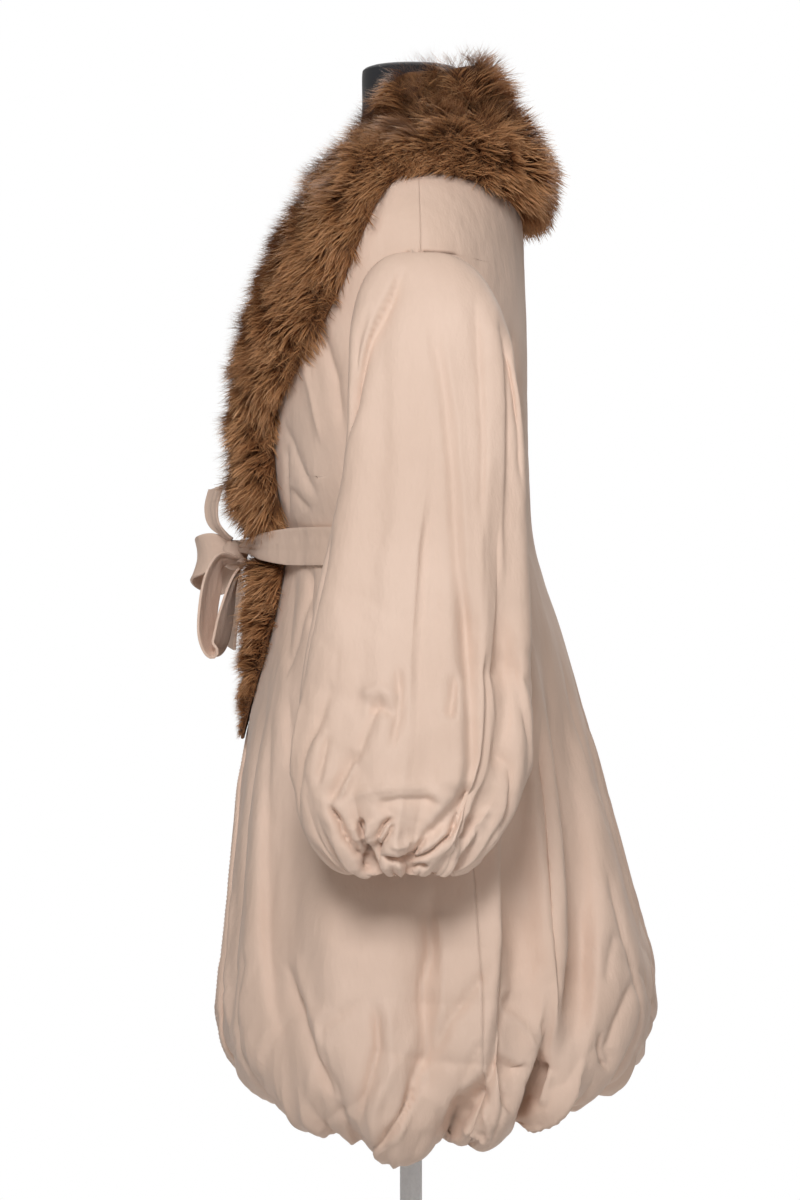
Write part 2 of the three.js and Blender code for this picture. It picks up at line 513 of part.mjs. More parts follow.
/** A panel's wall between two edges, given as functions of the level, in angles from the centre front. */
function panel(startAngle, endAngle, coarse, fine, place = (point) => point) {
  const rows = PANEL_LEVELS.map((level) => {
    const count = level < SKIRT_LEVELS[0] ? coarse : fine;
    return evenly(count, startAngle(level), endAngle(level)).map((angle) => ({
      point: place(coatPoint(angle, level), angle, level),
      normal: coatNormal(angle, THREE.MathUtils.clamp(level, NECKLINE_LEVEL, HEM_LEVEL - 0.03)),
    }));
  });
  return clothWall(rows, CLOTH_WALL);
}

const seamInset = (level) => SEAM_GAP / column(BODY, "halfWidth", level) / DEGREE;

/** The edge of the front or back at the shoulder seam, the armhole and the side seam. */
function seamEdge(level, backward) {
  const reach = armholeShare(level) * (backward ? ARMHOLE_BACK_ANGLE : -ARMHOLE_FRONT_ANGLE);
  return seamAngle(level) + reach + seamInset(level) * (backward ? 1 : -1);
}

/** The left front slips under the right one below the trim. */
function underlap(point, angle, level) {
  const share = smoothstep(OVERLAP_FROM - 0.9, OVERLAP_FROM - 0.1, level);
  const near = 1 - smoothstep(OVERLAP_ANGLE + 2, OVERLAP_ANGLE + 12, angle);
  return point.addScaledVector(coatNormal(angle, Math.min(level, HEM_LEVEL - 0.03)), -UNDERLAP_DEPTH * share * near);
}

const frontLeft = () =>
  panel((level) => frontEdgeAngle(LEFT, level), (level) => seamEdge(level, false), 9, 18, underlap);
const frontRight = () =>
  panel((level) => 360 - seamEdge(level, false), (level) => 360 - frontEdgeAngle(RIGHT, level), 9, 19);
const back = () => panel((level) => seamEdge(level, true), (level) => 360 - seamEdge(level, true), 15, 37);

const SLEEVE_TOP_LEVELS = [0, 0.5, 1, 1.6, 2.3, 3, 4, 5, 6, 7];
const SLEEVE_MIDDLE_LEVELS = [8, 8.8];
const SLEEVE_GATHER_LEVELS = [9.5, 10.1, 10.7, 11.2, 11.7, 12.2, 12.8, 14];

/** The sleeve as a tube from the armhole to the gathered end. */
function sleeve() {
  const ring = (count) => (level) =>
    Array.from({ length: count }, (_, k) => (k / count) * 360).map((turn) => ({
      point: sleevePoint(turn, level),
      normal: sleeveNormal(turn, level),
    }));
  const rows = [
    ...SLEEVE_TOP_LEVELS.map(ring(2 * ARMHOLE_STEPS)),
    ...SLEEVE_MIDDLE_LEVELS.map(ring(24)),
    ...SLEEVE_GATHER_LEVELS.map(ring(42)),
  ];
  return clothWall(rows, CLOTH_WALL, true);
}

const CUFF_RADIUS_X = 22.5;
const CUFF_RADIUS_Y = 29.1;
const CUFF_HEIGHT = 34;
const CUFF_LOWEST = 722;
const CUFF_WALL = 2.5;
const CUFF_COLUMNS = 20;

/** The narrow band inside the balloon that holds the gathers. */
function cuff() {
  const last = SLEEVE[SLEEVE_END_LEVEL];
  const [xMiddle, yMiddle] = [(last.xOuter + last.xInner) / 2, (last.yFront + last.yBack) / 2];
  const rows = [CUFF_LOWEST + CUFF_HEIGHT, CUFF_LOWEST].map((z) =>
    Array.from({ length: CUFF_COLUMNS }, (_, k) => (k / CUFF_COLUMNS) * 2 * Math.PI).map((turn) => {
      const normal = new THREE.Vector3(Math.cos(turn), Math.sin(turn), 0);
      const point = new THREE.Vector3(
        xMiddle + CUFF_RADIUS_X * normal.x,
        yMiddle + CUFF_RADIUS_Y * normal.y,
        z,
      );
      return { point, normal };
    }),
  );
  return clothWall(rows, CUFF_WALL, true);
}

const FUR_ACROSS = 6;
const FUR_HALF_STEPS_TO = 10;

/** The fur's outer or under surface, at a station of the collar and a share of the way across it. */
function furPoint(station, across, top) {
  const angle = THREE.MathUtils.lerp(
    column(COLLAR, "innerAngle", station),
    column(COLLAR, "outerAngle", station),
    across,
  );
  const level = THREE.MathUtils.lerp(
    column(COLLAR, "innerLevel", station),
    column(COLLAR, "outerLevel", station),
    across,
  );
  const skewed = across ** (Math.log(0.5) / Math.log(column(COLLAR, "lean", station)));
  const swell = (4 * skewed * (1 - skewed)) ** FUR_ROUNDING;
  const lift = FUR_SEAT + (top ? column(COLLAR, "fur", station) * swell : 0);
  return coatPoint(angle, level).addScaledVector(coatNormal(angle, level), lift);
}

/** One half of the shawl collar, from the centre back to its tip. */
function collarHalf() {
  const stations = [
    ...evenly(2 * FUR_HALF_STEPS_TO + 1, 0, FUR_HALF_STEPS_TO),
    ...evenly(LAST_FUR_STATION - FUR_HALF_STEPS_TO, FUR_HALF_STEPS_TO + 1, LAST_FUR_STATION),
  ];
  const rings = stations.map((station) => {
    const topLine = evenly(FUR_ACROSS + 2, 0, 1).map((across) => furPoint(station, across, true));
    const underLine = evenly(FUR_ACROSS + 2, 1, 0).slice(1, -1).map((across) => furPoint(station, across, false));
    return [...topLine, ...underLine].map((point) => point.setX(Math.max(point.x, SEAM_GAP / 2)));
  });
  return loft(rings);
}

/** A flat ribbon along stations that give its middle, the direction across it and its width's share. */
function ribbon(stations) {
  const middles = stations.map(({ x, y, z }) => new THREE.Vector3(x, y, z));
  const rows = stations.map(({ across, share }, k) => {
    const ahead = middles[Math.min(k + 1, middles.length - 1)].clone().sub(middles[Math.max(k - 1, 0)]);
    const wide = new THREE.Vector3(...across);
    const normal = ahead.clone().cross(wide).normalize();
    const edge = normal.clone().cross(ahead).normalize();
    return [-0.5, 0, 0.5].map((part) => ({
      point: middles[k].clone().addScaledVector(edge, part * SASH_WIDTH * share),
      normal,
    }));
  });
  return clothWall(rows, RIBBON_WALL);
}

/** One half of the sash, from the side seam to the knot, over the cloth and then over the fur. */
function sash() {
  const rows = [-0.5, 0, 0.5].map((part) =>
    SASH_PATH.map(({ angle, lift, share }) => {
      const level = WAIST_LEVEL + part * share * SASH_LEVELS;
      const normal = coatNormal(angle, level);
      const point = coatPoint(angle, level).addScaledVector(normal, lift + RIBBON_WALL);
      return { point, normal };
    }).reverse(),
  );
  return clothWall(rows, RIBBON_WALL);
}

/** The knot: a rounded wrap of the sash. */
function knot() {
  const { x, y, z, halfWidth, halfDepth, halfHeight } = KNOT;
  return new THREE.SphereGeometry(1, 14, 10).scale(halfWidth, halfDepth, halfHeight).translate(x, y, z);
}

/** The form's torso and neck, with the shoulders kept just under the coat that rests on them. */
function dressForm() {
  const turns = Array.from({ length: 28 }, (_, k) => (k / 28) * 360);
  const tableRings = (table) => table.map((_, row) => turns.map((angle) => ringPoint(table, angle, row)));
  const drop = -(CLOTH_WALL + FORM_CLEARANCE);
  const shoulderRings = FORM_SHOULDER_LEVELS.map((level) =>
    turns.map((angle) => coatPoint(angle, level).addScaledVector(coatNormal(angle, level), drop)),
  );
  return loft([...tableRings(FORM_NECK), ...shoulderRings, ...tableRings(FORM_TORSO)]);
}

/** The pole from the stand's socket up to the form. */
function pole() {
  const height = FORM_BASE_HEIGHT - SEAM_GAP - BASE_THICKNESS - SEAM_GAP;
  return new THREE.CylinderGeometry(POLE_RADIUS, POLE_RADIUS, height, 24)
    .rotateX(Math.PI / 2)
    .translate(0, 0, BASE_THICKNESS + SEAM_GAP + height / 2);
}

/** A solid of revolution about the upright axis, from radius and height pairs. */
function turned(profile, sides) {
  const outline = profile.map(([radius, height]) => new THREE.Vector2(radius, height));
  return new THREE.LatheGeometry(outline, sides).rotateX(Math.PI / 2);
}

/** The round foot with a chamfered edge. */
const baseDisc = () =>
  turned([
    [0, 0],
    [BASE_RADIUS, 0],
    [BASE_RADIUS, BASE_THICKNESS - BASE_CHAMFER],
    [BASE_RADIUS - BASE_CHAMFER, BASE_THICKNESS],
    [0, BASE_THICKNESS],
  ], 40);

/** The collar on the foot that holds the pole. */
function socket() {
  const bottom = BASE_THICKNESS + SEAM_GAP;
  const bore = POLE_RADIUS + SEAM_GAP;
  return turned([
    [bore, bottom],
    [SOCKET_RADIUS, bottom],
    [SOCKET_RADIUS, bottom + SOCKET_HEIGHT - BASE_CHAMFER],
    [SOCKET_RADIUS - BASE_CHAMFER, bottom + SOCKET_HEIGHT],
    [bore, bottom + SOCKET_HEIGHT],
    [bore, bottom],
  ], 24);
}

/** A named mesh of the coat on its dress form. */
function piece(name, geometry, material) {
  const mesh = new THREE.Mesh(geometry, material);
  mesh.name = name;
  return mesh;
}

const coat = new THREE.Group();
coat.add(
  piece("back", back(), clothMaterial),
  piece("front_left", frontLeft(), clothMaterial),
  piece("front_right", frontRight(), clothMaterial),
);

const leftPieces = {
  sleeve: [sleeve(), clothMaterial],
  cuff: [cuff(), clothMaterial],
  fur_collar: [collarHalf(), furMaterial],
  sash: [sash(), clothMaterial],
};
for (const [name, [geometry, material]] of Object.entries(leftPieces)) {
  coat.add(piece(`${name}_left`, geometry, material));
  coat.add(piece(`${name}_right`, mirrored(geometry), material));
}

coat.add(
  piece("bow_knot", knot(), clothMaterial),
  piece("bow_loop_left", ribbon(DROOPING_LOOP), clothMaterial),
  piece("bow_loop_right", ribbon(FORWARD_LOOP), clothMaterial),
  piece("sash_end_rising", ribbon(RISING_END), clothMaterial),
  piece("sash_end_hanging", ribbon(HANGING_END), clothMaterial),
);

const stand = new THREE.Group();
stand.add(
  piece("dress_form", dressForm(), formMaterial),
  piece("stand_pole", pole(), standMaterial),
  piece("stand_socket", socket(), standMaterial),
  piece("stand_base", baseDisc(), standMaterial),
);

const dressedForm = new THREE.Group();
dressedForm.add(coat, stand);

export default dressedForm;
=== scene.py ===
"""A beige balloon-sleeved coat with a fur shawl collar, on a limbless dress form.

Lengths in the tables are millimetres in the part's own frame: Z is up, the coat's front faces -Y and the
wearer's left is +X. Meshes are made in metres.
"""

import logging
import math
from dataclasses import dataclass, field, fields
from enum import Enum
from typing import Callable, Sequence

import bpy
import numpy as np
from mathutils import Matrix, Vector

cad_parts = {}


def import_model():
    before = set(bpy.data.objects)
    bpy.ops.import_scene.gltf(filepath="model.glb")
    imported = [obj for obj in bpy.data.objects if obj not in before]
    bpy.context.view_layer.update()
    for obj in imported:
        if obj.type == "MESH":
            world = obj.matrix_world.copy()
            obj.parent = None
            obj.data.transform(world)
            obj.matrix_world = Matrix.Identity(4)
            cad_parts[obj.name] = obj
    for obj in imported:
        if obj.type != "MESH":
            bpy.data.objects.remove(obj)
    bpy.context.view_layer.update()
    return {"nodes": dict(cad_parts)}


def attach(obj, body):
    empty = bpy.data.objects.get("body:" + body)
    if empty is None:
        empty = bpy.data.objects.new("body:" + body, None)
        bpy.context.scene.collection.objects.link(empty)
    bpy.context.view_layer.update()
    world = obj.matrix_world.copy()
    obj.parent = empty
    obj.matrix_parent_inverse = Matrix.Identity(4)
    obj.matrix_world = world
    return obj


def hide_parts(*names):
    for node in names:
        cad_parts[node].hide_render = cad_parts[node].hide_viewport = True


LOG = logging.getLogger("coat")

MM = 0.001
BODY_NAME = "root"
CLOTH_SLOT = "coat_cloth"
FUR_SLOT = "faux_fur"
FORM_SLOT = "form_cover"

Array = np.ndarray
Triple = tuple[float, float, float]
Mesh = bpy.types.Mesh
Object = bpy.types.Object
Material = bpy.types.Material
Node = bpy.types.Node
NodeTree = bpy.types.NodeTree
Socket = bpy.types.NodeSocket


class Side(Enum):
    """A way that a face of the coat looks, as a unit vector."""

    LEFT = (1.0, 0.0, 0.0)
    RIGHT = (-1.0, 0.0, 0.0)
    FRONT = (0.0, -1.0, 0.0)
    BACK = (0.0, 1.0, 0.0)


class CreaseKind(Enum):
    """The section of a crease: a soft trough, a soft ridge, or a fold that drops away on one side."""

    TROUGH = "trough"
    RIDGE = "ridge"
    SHELF = "shelf"


@dataclass(frozen=True)
class Ring:
    """An oval ring of a surface. The three heights are of its front, its sides and its back."""

    half_width: float
    front: float
    back: float
    z_front: float
    z_side: float
    z_back: float
    squareness: float = 2.0
    rise: float = 2.0


@dataclass(frozen=True)
class SleeveRing:
    """A ring of the left sleeve, by its outer and inner points and its front and back."""

    x_outer: float
    z_outer: float
    x_inner: float
    z_inner: float
    y_front: float
    y_back: float
    squareness: float


@dataclass(frozen=True)
class Gather:
    """A stitch that pulls the cloth in. reach is the level where its valley starts."""

    angle: float
    depth: float
    reach: float


@dataclass(frozen=True)
class Fold:
    """A long soft fold down a surface. It stands out if its depth is positive."""

    angle: float
    drift: float
    width: float
    depth: float
    start: float
    full: float


@dataclass(frozen=True)
class Crease:
    """A crease along a path of places on one side of the coat, each (across, height) in millimetres."""

    side: Side
    kind: CreaseKind
    width: float
    depth: float
    path: tuple[tuple[float, float], ...]


@dataclass(frozen=True)
class Station:
    """A station of the shawl collar, from its inner to its outer edge on the coat's rings."""

    inner_angle: float
    inner_level: float
    outer_angle: float
    outer_level: float
    fur: float
    lean: float


@dataclass(frozen=True)
class RibbonStation:
    """The middle of a ribbon, the direction across it, and its share of the full width."""

    x: float
    y: float
    z: float
    across_x: float
    across_y: float
    across_z: float
    share: float


def rows_of(kind: type, *rows: Sequence[float]) -> tuple:
    """The rows of a table, each made into a dataclass of one kind."""
    return tuple(kind(*row) for row in rows)


def creases_of(side: Side, *rows: Sequence[object]) -> list[Crease]:
    """The creases of one side.

    Args:
        side: The side.
        *rows: Each crease's kind, width and depth, and then across and height of its places in turn.

    Returns:
        The creases.
    """
    return [Crease(side, *row[:3], tuple(zip(row[3::2], row[4::2]))) for row in rows]


BODY_RINGS = rows_of(
    Ring,
    (60, 56, 64, 1425, 1486, 1500, 2.0, 2.0), (84, 62, 74, 1408, 1428, 1434, 2.0, 2.0),
    (142, 94, 96, 1352, 1402, 1398, 2.1, 2.0), (200, 118, 108, 1292, 1362, 1350, 2.2, 2.0),
    (234, 134, 113, 1235, 1294, 1282, 2.3, 2.0), (242, 144, 116, 1160, 1190, 1186, 2.35, 2.0),
    (238, 140, 118, 1085, 1085, 1085, 2.3, 2.0), (224, 131, 124, 1020, 1020, 1020, 2.25, 2.0),
    (230, 145, 151, 930, 930, 930, 2.2, 2.0), (246, 169, 187, 810, 810, 810, 2.2, 2.0),
    (264, 183, 221, 690, 690, 690, 2.2, 2.0), (280, 191, 244, 602, 588, 608, 2.2, 1.7),
    (287, 191, 244, 540, 508, 546, 2.15, 1.4), (276, 174, 226, 502, 455, 508, 2.1, 1.35),
    (252, 146, 196, 487, 434, 495, 2.1, 1.35), (230, 124, 174, 503, 450, 511, 2.1, 1.35),
    (218, 113, 161, 534, 484, 543, 2.1, 1.35),
)
NECKLINE_LEVEL = 1.0
ARMHOLE_TOP_LEVEL = 4.0
UNDERARM_LEVEL = 6.0
WAIST_LEVEL = 7.0
HIP_LEVEL = 10.0
TURN_LEVEL = 13.8
HEM_LEVEL = 16.0

SLEEVE_RINGS = rows_of(
    SleeveRing,
    (238, 1295, 240, 1088, -54, 88, 2.8), (252, 1284, 251, 1091, -58, 92, 3.0),
    (268, 1248, 252, 1078, -59, 97, 3.0), (283, 1195, 250, 1057, -61, 103, 2.8),
    (295, 1132, 246, 1025, -66, 107, 2.5), (309, 1062, 242, 985, -77, 109, 2.3),
    (326, 985, 242, 935, -91, 111, 2.3), (345, 910, 246, 880, -102, 112, 2.3),
    (362, 845, 254, 828, -108, 111, 2.3), (371, 792, 262, 782, -107, 100, 2.2),
    (370, 750, 267, 746, -97, 80, 2.1), (361, 724, 272, 723, -78, 61, 2.0),
    (349, 713, 280, 714, -57, 43, 2.0), (345, 722, 281, 722, -46, 32, 2.0),
    (344, 742, 281, 742, -45, 31, 2.0),
)
SLEEVE_END_LEVEL = 14.0
SEAM_PUFF = 8.0

SHOULDER_SEAM_ANGLE = 93.0
SIDE_SEAM_ANGLE = 103.5
ARMHOLE_FRONT_ANGLE = 25.0
ARMHOLE_BACK_ANGLE = 36.0
ARMHOLE_FULLNESS = 0.7

FRONT_EDGE_LEVELS = (1.0, 2.0, 3.0, 4.0, 4.5, 16.0)
FRONT_EDGE_ANGLES = (58.0, 30.0, 12.0, 1.5, 0.04, 0.04)
OVERLAP_ANGLE = 9.0
OVERLAP_FROM = 8.9
OVERLAP_FULL = 9.6
UNDERLAP_DEPTH = 3.6
EDGE_ROLL = 3.8
SEAM_ROLL = 1.3
# How far a panel's edge already dips, as a share of its roll.
EDGE_DIP = 0.15
# How far the stitches' lines stand off the cloth of the body and of the sash.
STITCH_LIFT = 0.35
SASH_STITCH_LIFT = 0.3
SEAM_ALLOWANCE = 8.0
BODY_SEED = 5

HEM_GATHERS = rows_of(
    Gather,
    (-14, 14, 12.2), (12, 14, 12.2), (39, 18, 11.6), (70, 26, 11.0), (99.5, 44, 11.2), (120.5, 50, 10.4),
    (136, 20, 11.8), (149, 26, 11.3), (165, 18, 12.0), (182, 22, 11.6), (198, 16, 12.2), (213, 28, 11.4),
    (230, 20, 11.8), (247, 38, 10.8), (268, 24, 11.4), (293, 30, 11.1), (321, 18, 11.8), (346, 14, 12.2),
    (372, 14, 12.2),
)
CUFF_GATHERS = rows_of(
    Gather,
    (-30, 24, 8.6), (4, 16, 9.2), (33, 13, 9.8), (60, 19, 8.8), (90, 11, 10.0), (118, 13, 9.4),
    (147, 10, 9.8), (176, 12, 9.6), (205, 10, 10.0), (232, 12, 9.6), (258, 15, 9.2), (281, 12, 9.8),
    (304, 17, 9.2), (330, 24, 8.6), (364, 16, 9.2),
)
HEM_LIFT_SHARE = 0.42
# How many levels a gather takes to reach its full depth, and how sharp its valley is.
GATHER_RUN = 2.6
GATHER_SHARPNESS = 0.6
# The levels over which the long folds fade towards the hem and the cuffs.
SKIRT_FOLD_FADE = (11.5, 14.0)
SLEEVE_FOLD_FADE = (9.5, 12.0)
# How much less the cuff's gathers pull where they meet the band, and the levels where this sets in.
CUFF_EASE = 0.62
CUFF_EASE_LEVELS = (11.9, 13.2)
# The levels over which the sleeve passes from the armhole's shape to its own rings.
SLEEVE_JOIN = (0.7, 2.4)
# The sleeve joins the body just inside the armhole's edge, at this share of its size.
ARMHOLE_INSET = 0.994
# The levels over which the crumples of the body grow and fade.
CRUMPLES_GROW = (10.0, 11.6)
CRUMPLES_FADE = (13.6, 14.6)

SKIRT_FOLDS = rows_of(
    Fold,
    (37, 0, 6, 8, 7.8, 9), (52, 1, 8, -8, 7.6, 9.5), (68, 2, 7, 5, 8.2, 10), (94, -1, 5.5, -10, 8.8, 10.4),
    (110, -1, 5.5, 12, 8, 10), (117, -1, 5.5, -15, 8.4, 10.4), (126, -4.5, 5.5, 13, 7.4, 9.2),
    (134, -5, 5.5, -14, 7.6, 9.6), (150, -2, 8, 6, 8, 10), (166, 0, 7, -6, 8, 10), (194, 1, 7, -8, 8, 10),
    (210, 2, 6, 9, 7.6, 9.6), (221, 3, 6, -12, 7.8, 9.8), (243, 2, 6, 11, 8, 10),
    (258, 1, 5.5, -12, 8.4, 10.2), (284, 0, 7, 6, 8.4, 10.2), (303, -2, 9, -9, 7.8, 9.6),
    (324, 0, 7, 8, 7.8, 9.4),
)
SLEEVE_FOLDS = rows_of(
    Fold,
    (52, -1, 9, -8, 1.4, 4), (32, 1, 9, 6, 2, 5), (330, 0, 11, -6, 1.2, 3), (10, 2, 8, -5, 4, 6),
)

TROUGH, RIDGE, SHELF = CreaseKind.TROUGH, CreaseKind.RIDGE, CreaseKind.SHELF

# How much deeper the creases are than their tables say.
CREASE_STRENGTH = 1.2
# The share of a crease's length over which each end fades.
CREASE_TAPER = 0.22
# How rounded a shelf's edge is, and the middle of a trough or a ridge, as shares of the width.
SHELF_ROUNDING = 0.11
TROUGH_ROUNDING = 0.15
# The cloth beside a trough rises and beside a ridge it dips, by these shares of the depth and the width.
BANK_HEIGHT = 0.35
BANK_WIDTH = 2.2

BODY_CREASES = (
    # The wearer's left side, under and behind the sleeve.
    *creases_of(
        Side.LEFT,
        (SHELF, 16, -9, -149, 905, -148, 860, -145, 760, -143, 640, -135, 585, -118, 530),
        (TROUGH, 9, -4, -120, 880, -118, 840, -121, 800),
        (TROUGH, 9, -9, -122, 630, -110, 585, -88, 530, -66, 486),
        (RIDGE, 10, 4, -112, 640, -98, 590, -76, 534),
        (TROUGH, 9, -9, -34, 600, -31, 552, -44, 504, -54, 466),
        (TROUGH, 7, -4, -44, 598, -84, 568, -80, 530, -66, 500),
        (RIDGE, 12, 5, -22, 600, -20, 540, -34, 482),
        (TROUGH, 12, -11, 14, 700, 19, 640, 11, 608, 14, 546, -18, 472),
        (RIDGE, 9, 4, 24, 690, 30, 620, 26, 560),
        (SHELF, 20, -20, 91, 790, 90, 700, 90, 652, 82, 585, 68, 527, 42, 498, 34, 452),
        (TROUGH, 14, -15, 68, 512, 54, 496, 40, 480, 33, 458),
        (RIDGE, 5, 6, 62, 500, 70, 478, 74, 456),
        (RIDGE, 5, 5, 46, 474, 58, 462, 72, 456),
        (TROUGH, 8, -6, 76, 632, 34, 574, 20, 540),
        (TROUGH, 8, -5, 66, 560, 46, 512),
        (TROUGH, 10, -7, 104, 690, 108, 640, 106, 600, 96, 566),
        (SHELF, 15, -17, 88, 604, 90, 560, 91, 530, 91, 501, 97, 486, 104, 472),
        (SHELF, 11, -11, 136, 520, 126, 527, 109, 527, 98, 541, 88, 560),
        (TROUGH, 5, -14, 121, 526, 119, 514, 116, 500, 113, 490),
        (RIDGE, 5, 7, 129, 532, 129, 516, 124, 500, 118, 486),
        (RIDGE, 6, 5, 92, 600, 106, 574, 118, 548, 127, 530),
        (SHELF, 22, -10, 118, 868, 126, 758, 130, 680, 142, 608, 146, 556),
        (SHELF, 32, -13, 166, 540, 172, 600, 175, 690, 172, 770, 164, 850, 154, 910),
        (RIDGE, 5, 5, 13, 540, 6, 504, -18, 466, -38, 446),
        (TROUGH, 5, -8, 8, 520, -4, 496, -28, 462, -44, 448),
        (TROUGH, 5, -7, 180, 560, 181, 544, 183, 528, 190, 516),
        (TROUGH, 12, -5, 162, 690, 168, 640, 164, 590, 150, 540),
        (TROUGH, 9, -7, 216, 608, 196, 566, 188, 540, 194, 512),
        (TROUGH, 8, -4, 196, 652, 186, 600),
        (RIDGE, 10, 4, 178, 660, 176, 600, 170, 548),
        # The front of the body, between the trim and the sleeve.
        (TROUGH, 10, -6, -94, 1262, -86, 1220, -72, 1176, -66, 1120),
        (RIDGE, 8, 4, -108, 1220, -96, 1170, -84, 1110),
        (TROUGH, 8, -5, -124, 1140, -106, 1092, -88, 1060),
        (TROUGH, 7, -4, -118, 1076, -96, 1050),
        (TROUGH, 6, -5, -98, 1002, -97, 960, -92, 930),
        (TROUGH, 9, -4, -112, 1000, -116, 950, -122, 890),
        (TROUGH, 8, -4, -24, 1362, -36, 1332, -40, 1310),
    ),
    # The wearer's right side.
    *creases_of(
        Side.RIGHT,
        (SHELF, 16, -6, -146, 900, -144, 800, -140, 660, -128, 580, -108, 520),
        (TROUGH, 9, -6, -96, 660, -84, 590, -72, 530, -70, 480),
        (TROUGH, 9, -6, -20, 680, -28, 600, -18, 530, -2, 470),
        (RIDGE, 11, 5, -44, 640, -52, 560, -44, 500),
        (SHELF, 15, -10, 70, 800, 74, 700, 66, 610, 52, 540, 36, 470),
        (TROUGH, 8, -6, 96, 620, 62, 570, 48, 530),
        (TROUGH, 12, -8, 110, 700, 118, 620, 108, 550, 112, 490),
        (SHELF, 17, -7, 138, 850, 150, 740, 158, 640, 152, 560),
        (TROUGH, 9, -6, 206, 620, 190, 570, 182, 520),
        (TROUGH, 10, -6, -92, 1250, -80, 1190, -70, 1120),
        (TROUGH, 8, -5, -120, 1130, -100, 1076),
    ),
    # The front.
    *creases_of(
        Side.FRONT,
        (SHELF, 14, -6, 60, 850, 54, 740, 48, 620, 52, 540),
        (TROUGH, 10, -6, 118, 880, 128, 760, 140, 640, 146, 560, 136, 505),
        (TROUGH, 9, -5, 78, 690, 88, 610, 84, 540),
        (RIDGE, 11, 5, 104, 700, 114, 600, 118, 530),
        (TROUGH, 8, -5, 180, 640, 170, 560, 176, 500),
        (TROUGH, 9, -5, 20, 640, 26, 570, 18, 510),
        (TROUGH, 10, -6, -116, 890, -122, 770, -134, 650, -144, 560),
        (TROUGH, 9, -6, -70, 720, -62, 640, -74, 560, -70, 505),
        (RIDGE, 11, 5, -94, 700, -100, 610, -98, 530),
        (TROUGH, 8, -5, -178, 660, -168, 580, -174, 510),
        (TROUGH, 8, -4, -30, 620, -24, 560, -34, 510),
        (TROUGH, 8, -5, 150, 1120, 140, 1080, 120, 1048),
        (TROUGH, 8, -5, -154, 1130, -140, 1084, -124, 1046),
        (TROUGH, 8, -5, 170, 1000, 166, 950, 156, 890),
        (TROUGH, 8, -5, -160, 998, -162, 940, -150, 880),
    ),
    # The back.
    *creases_of(
        Side.BACK,
        (TROUGH, 14, -5, -150, 1240, -120, 1180, -100, 1090),
        (TROUGH, 14, -5, 156, 1236, 130, 1170, 104, 1100),
        (TROUGH, 12, -6, -70, 960, -84, 840, -96, 700, -90, 600),
        (RIDGE, 14, 6, -40, 900, -48, 780, -50, 640),
        (SHELF, 15, -7, 20, 940, 14, 820, 22, 700, 10, 600, -6, 530),
        (TROUGH, 12, -6, 92, 930, 104, 800, 112, 680, 102, 590, 110, 530),
        (RIDGE, 12, 6, 62, 860, 70, 740, 66, 620),
        (TROUGH, 9, -6, 150, 720, 158, 640, 146, 560, 152, 510),
        (TROUGH, 9, -6, -152, 700, -160, 620, -150, 550),
        (TROUGH, 8, -5, -20, 640, -30, 580, -22, 530),
        (TROUGH, 8, -5, 48, 620, 56, 570, 44, 528),
        (TROUGH, 8, -5, -116, 620, -122, 570, -112, 530),
    ),
)

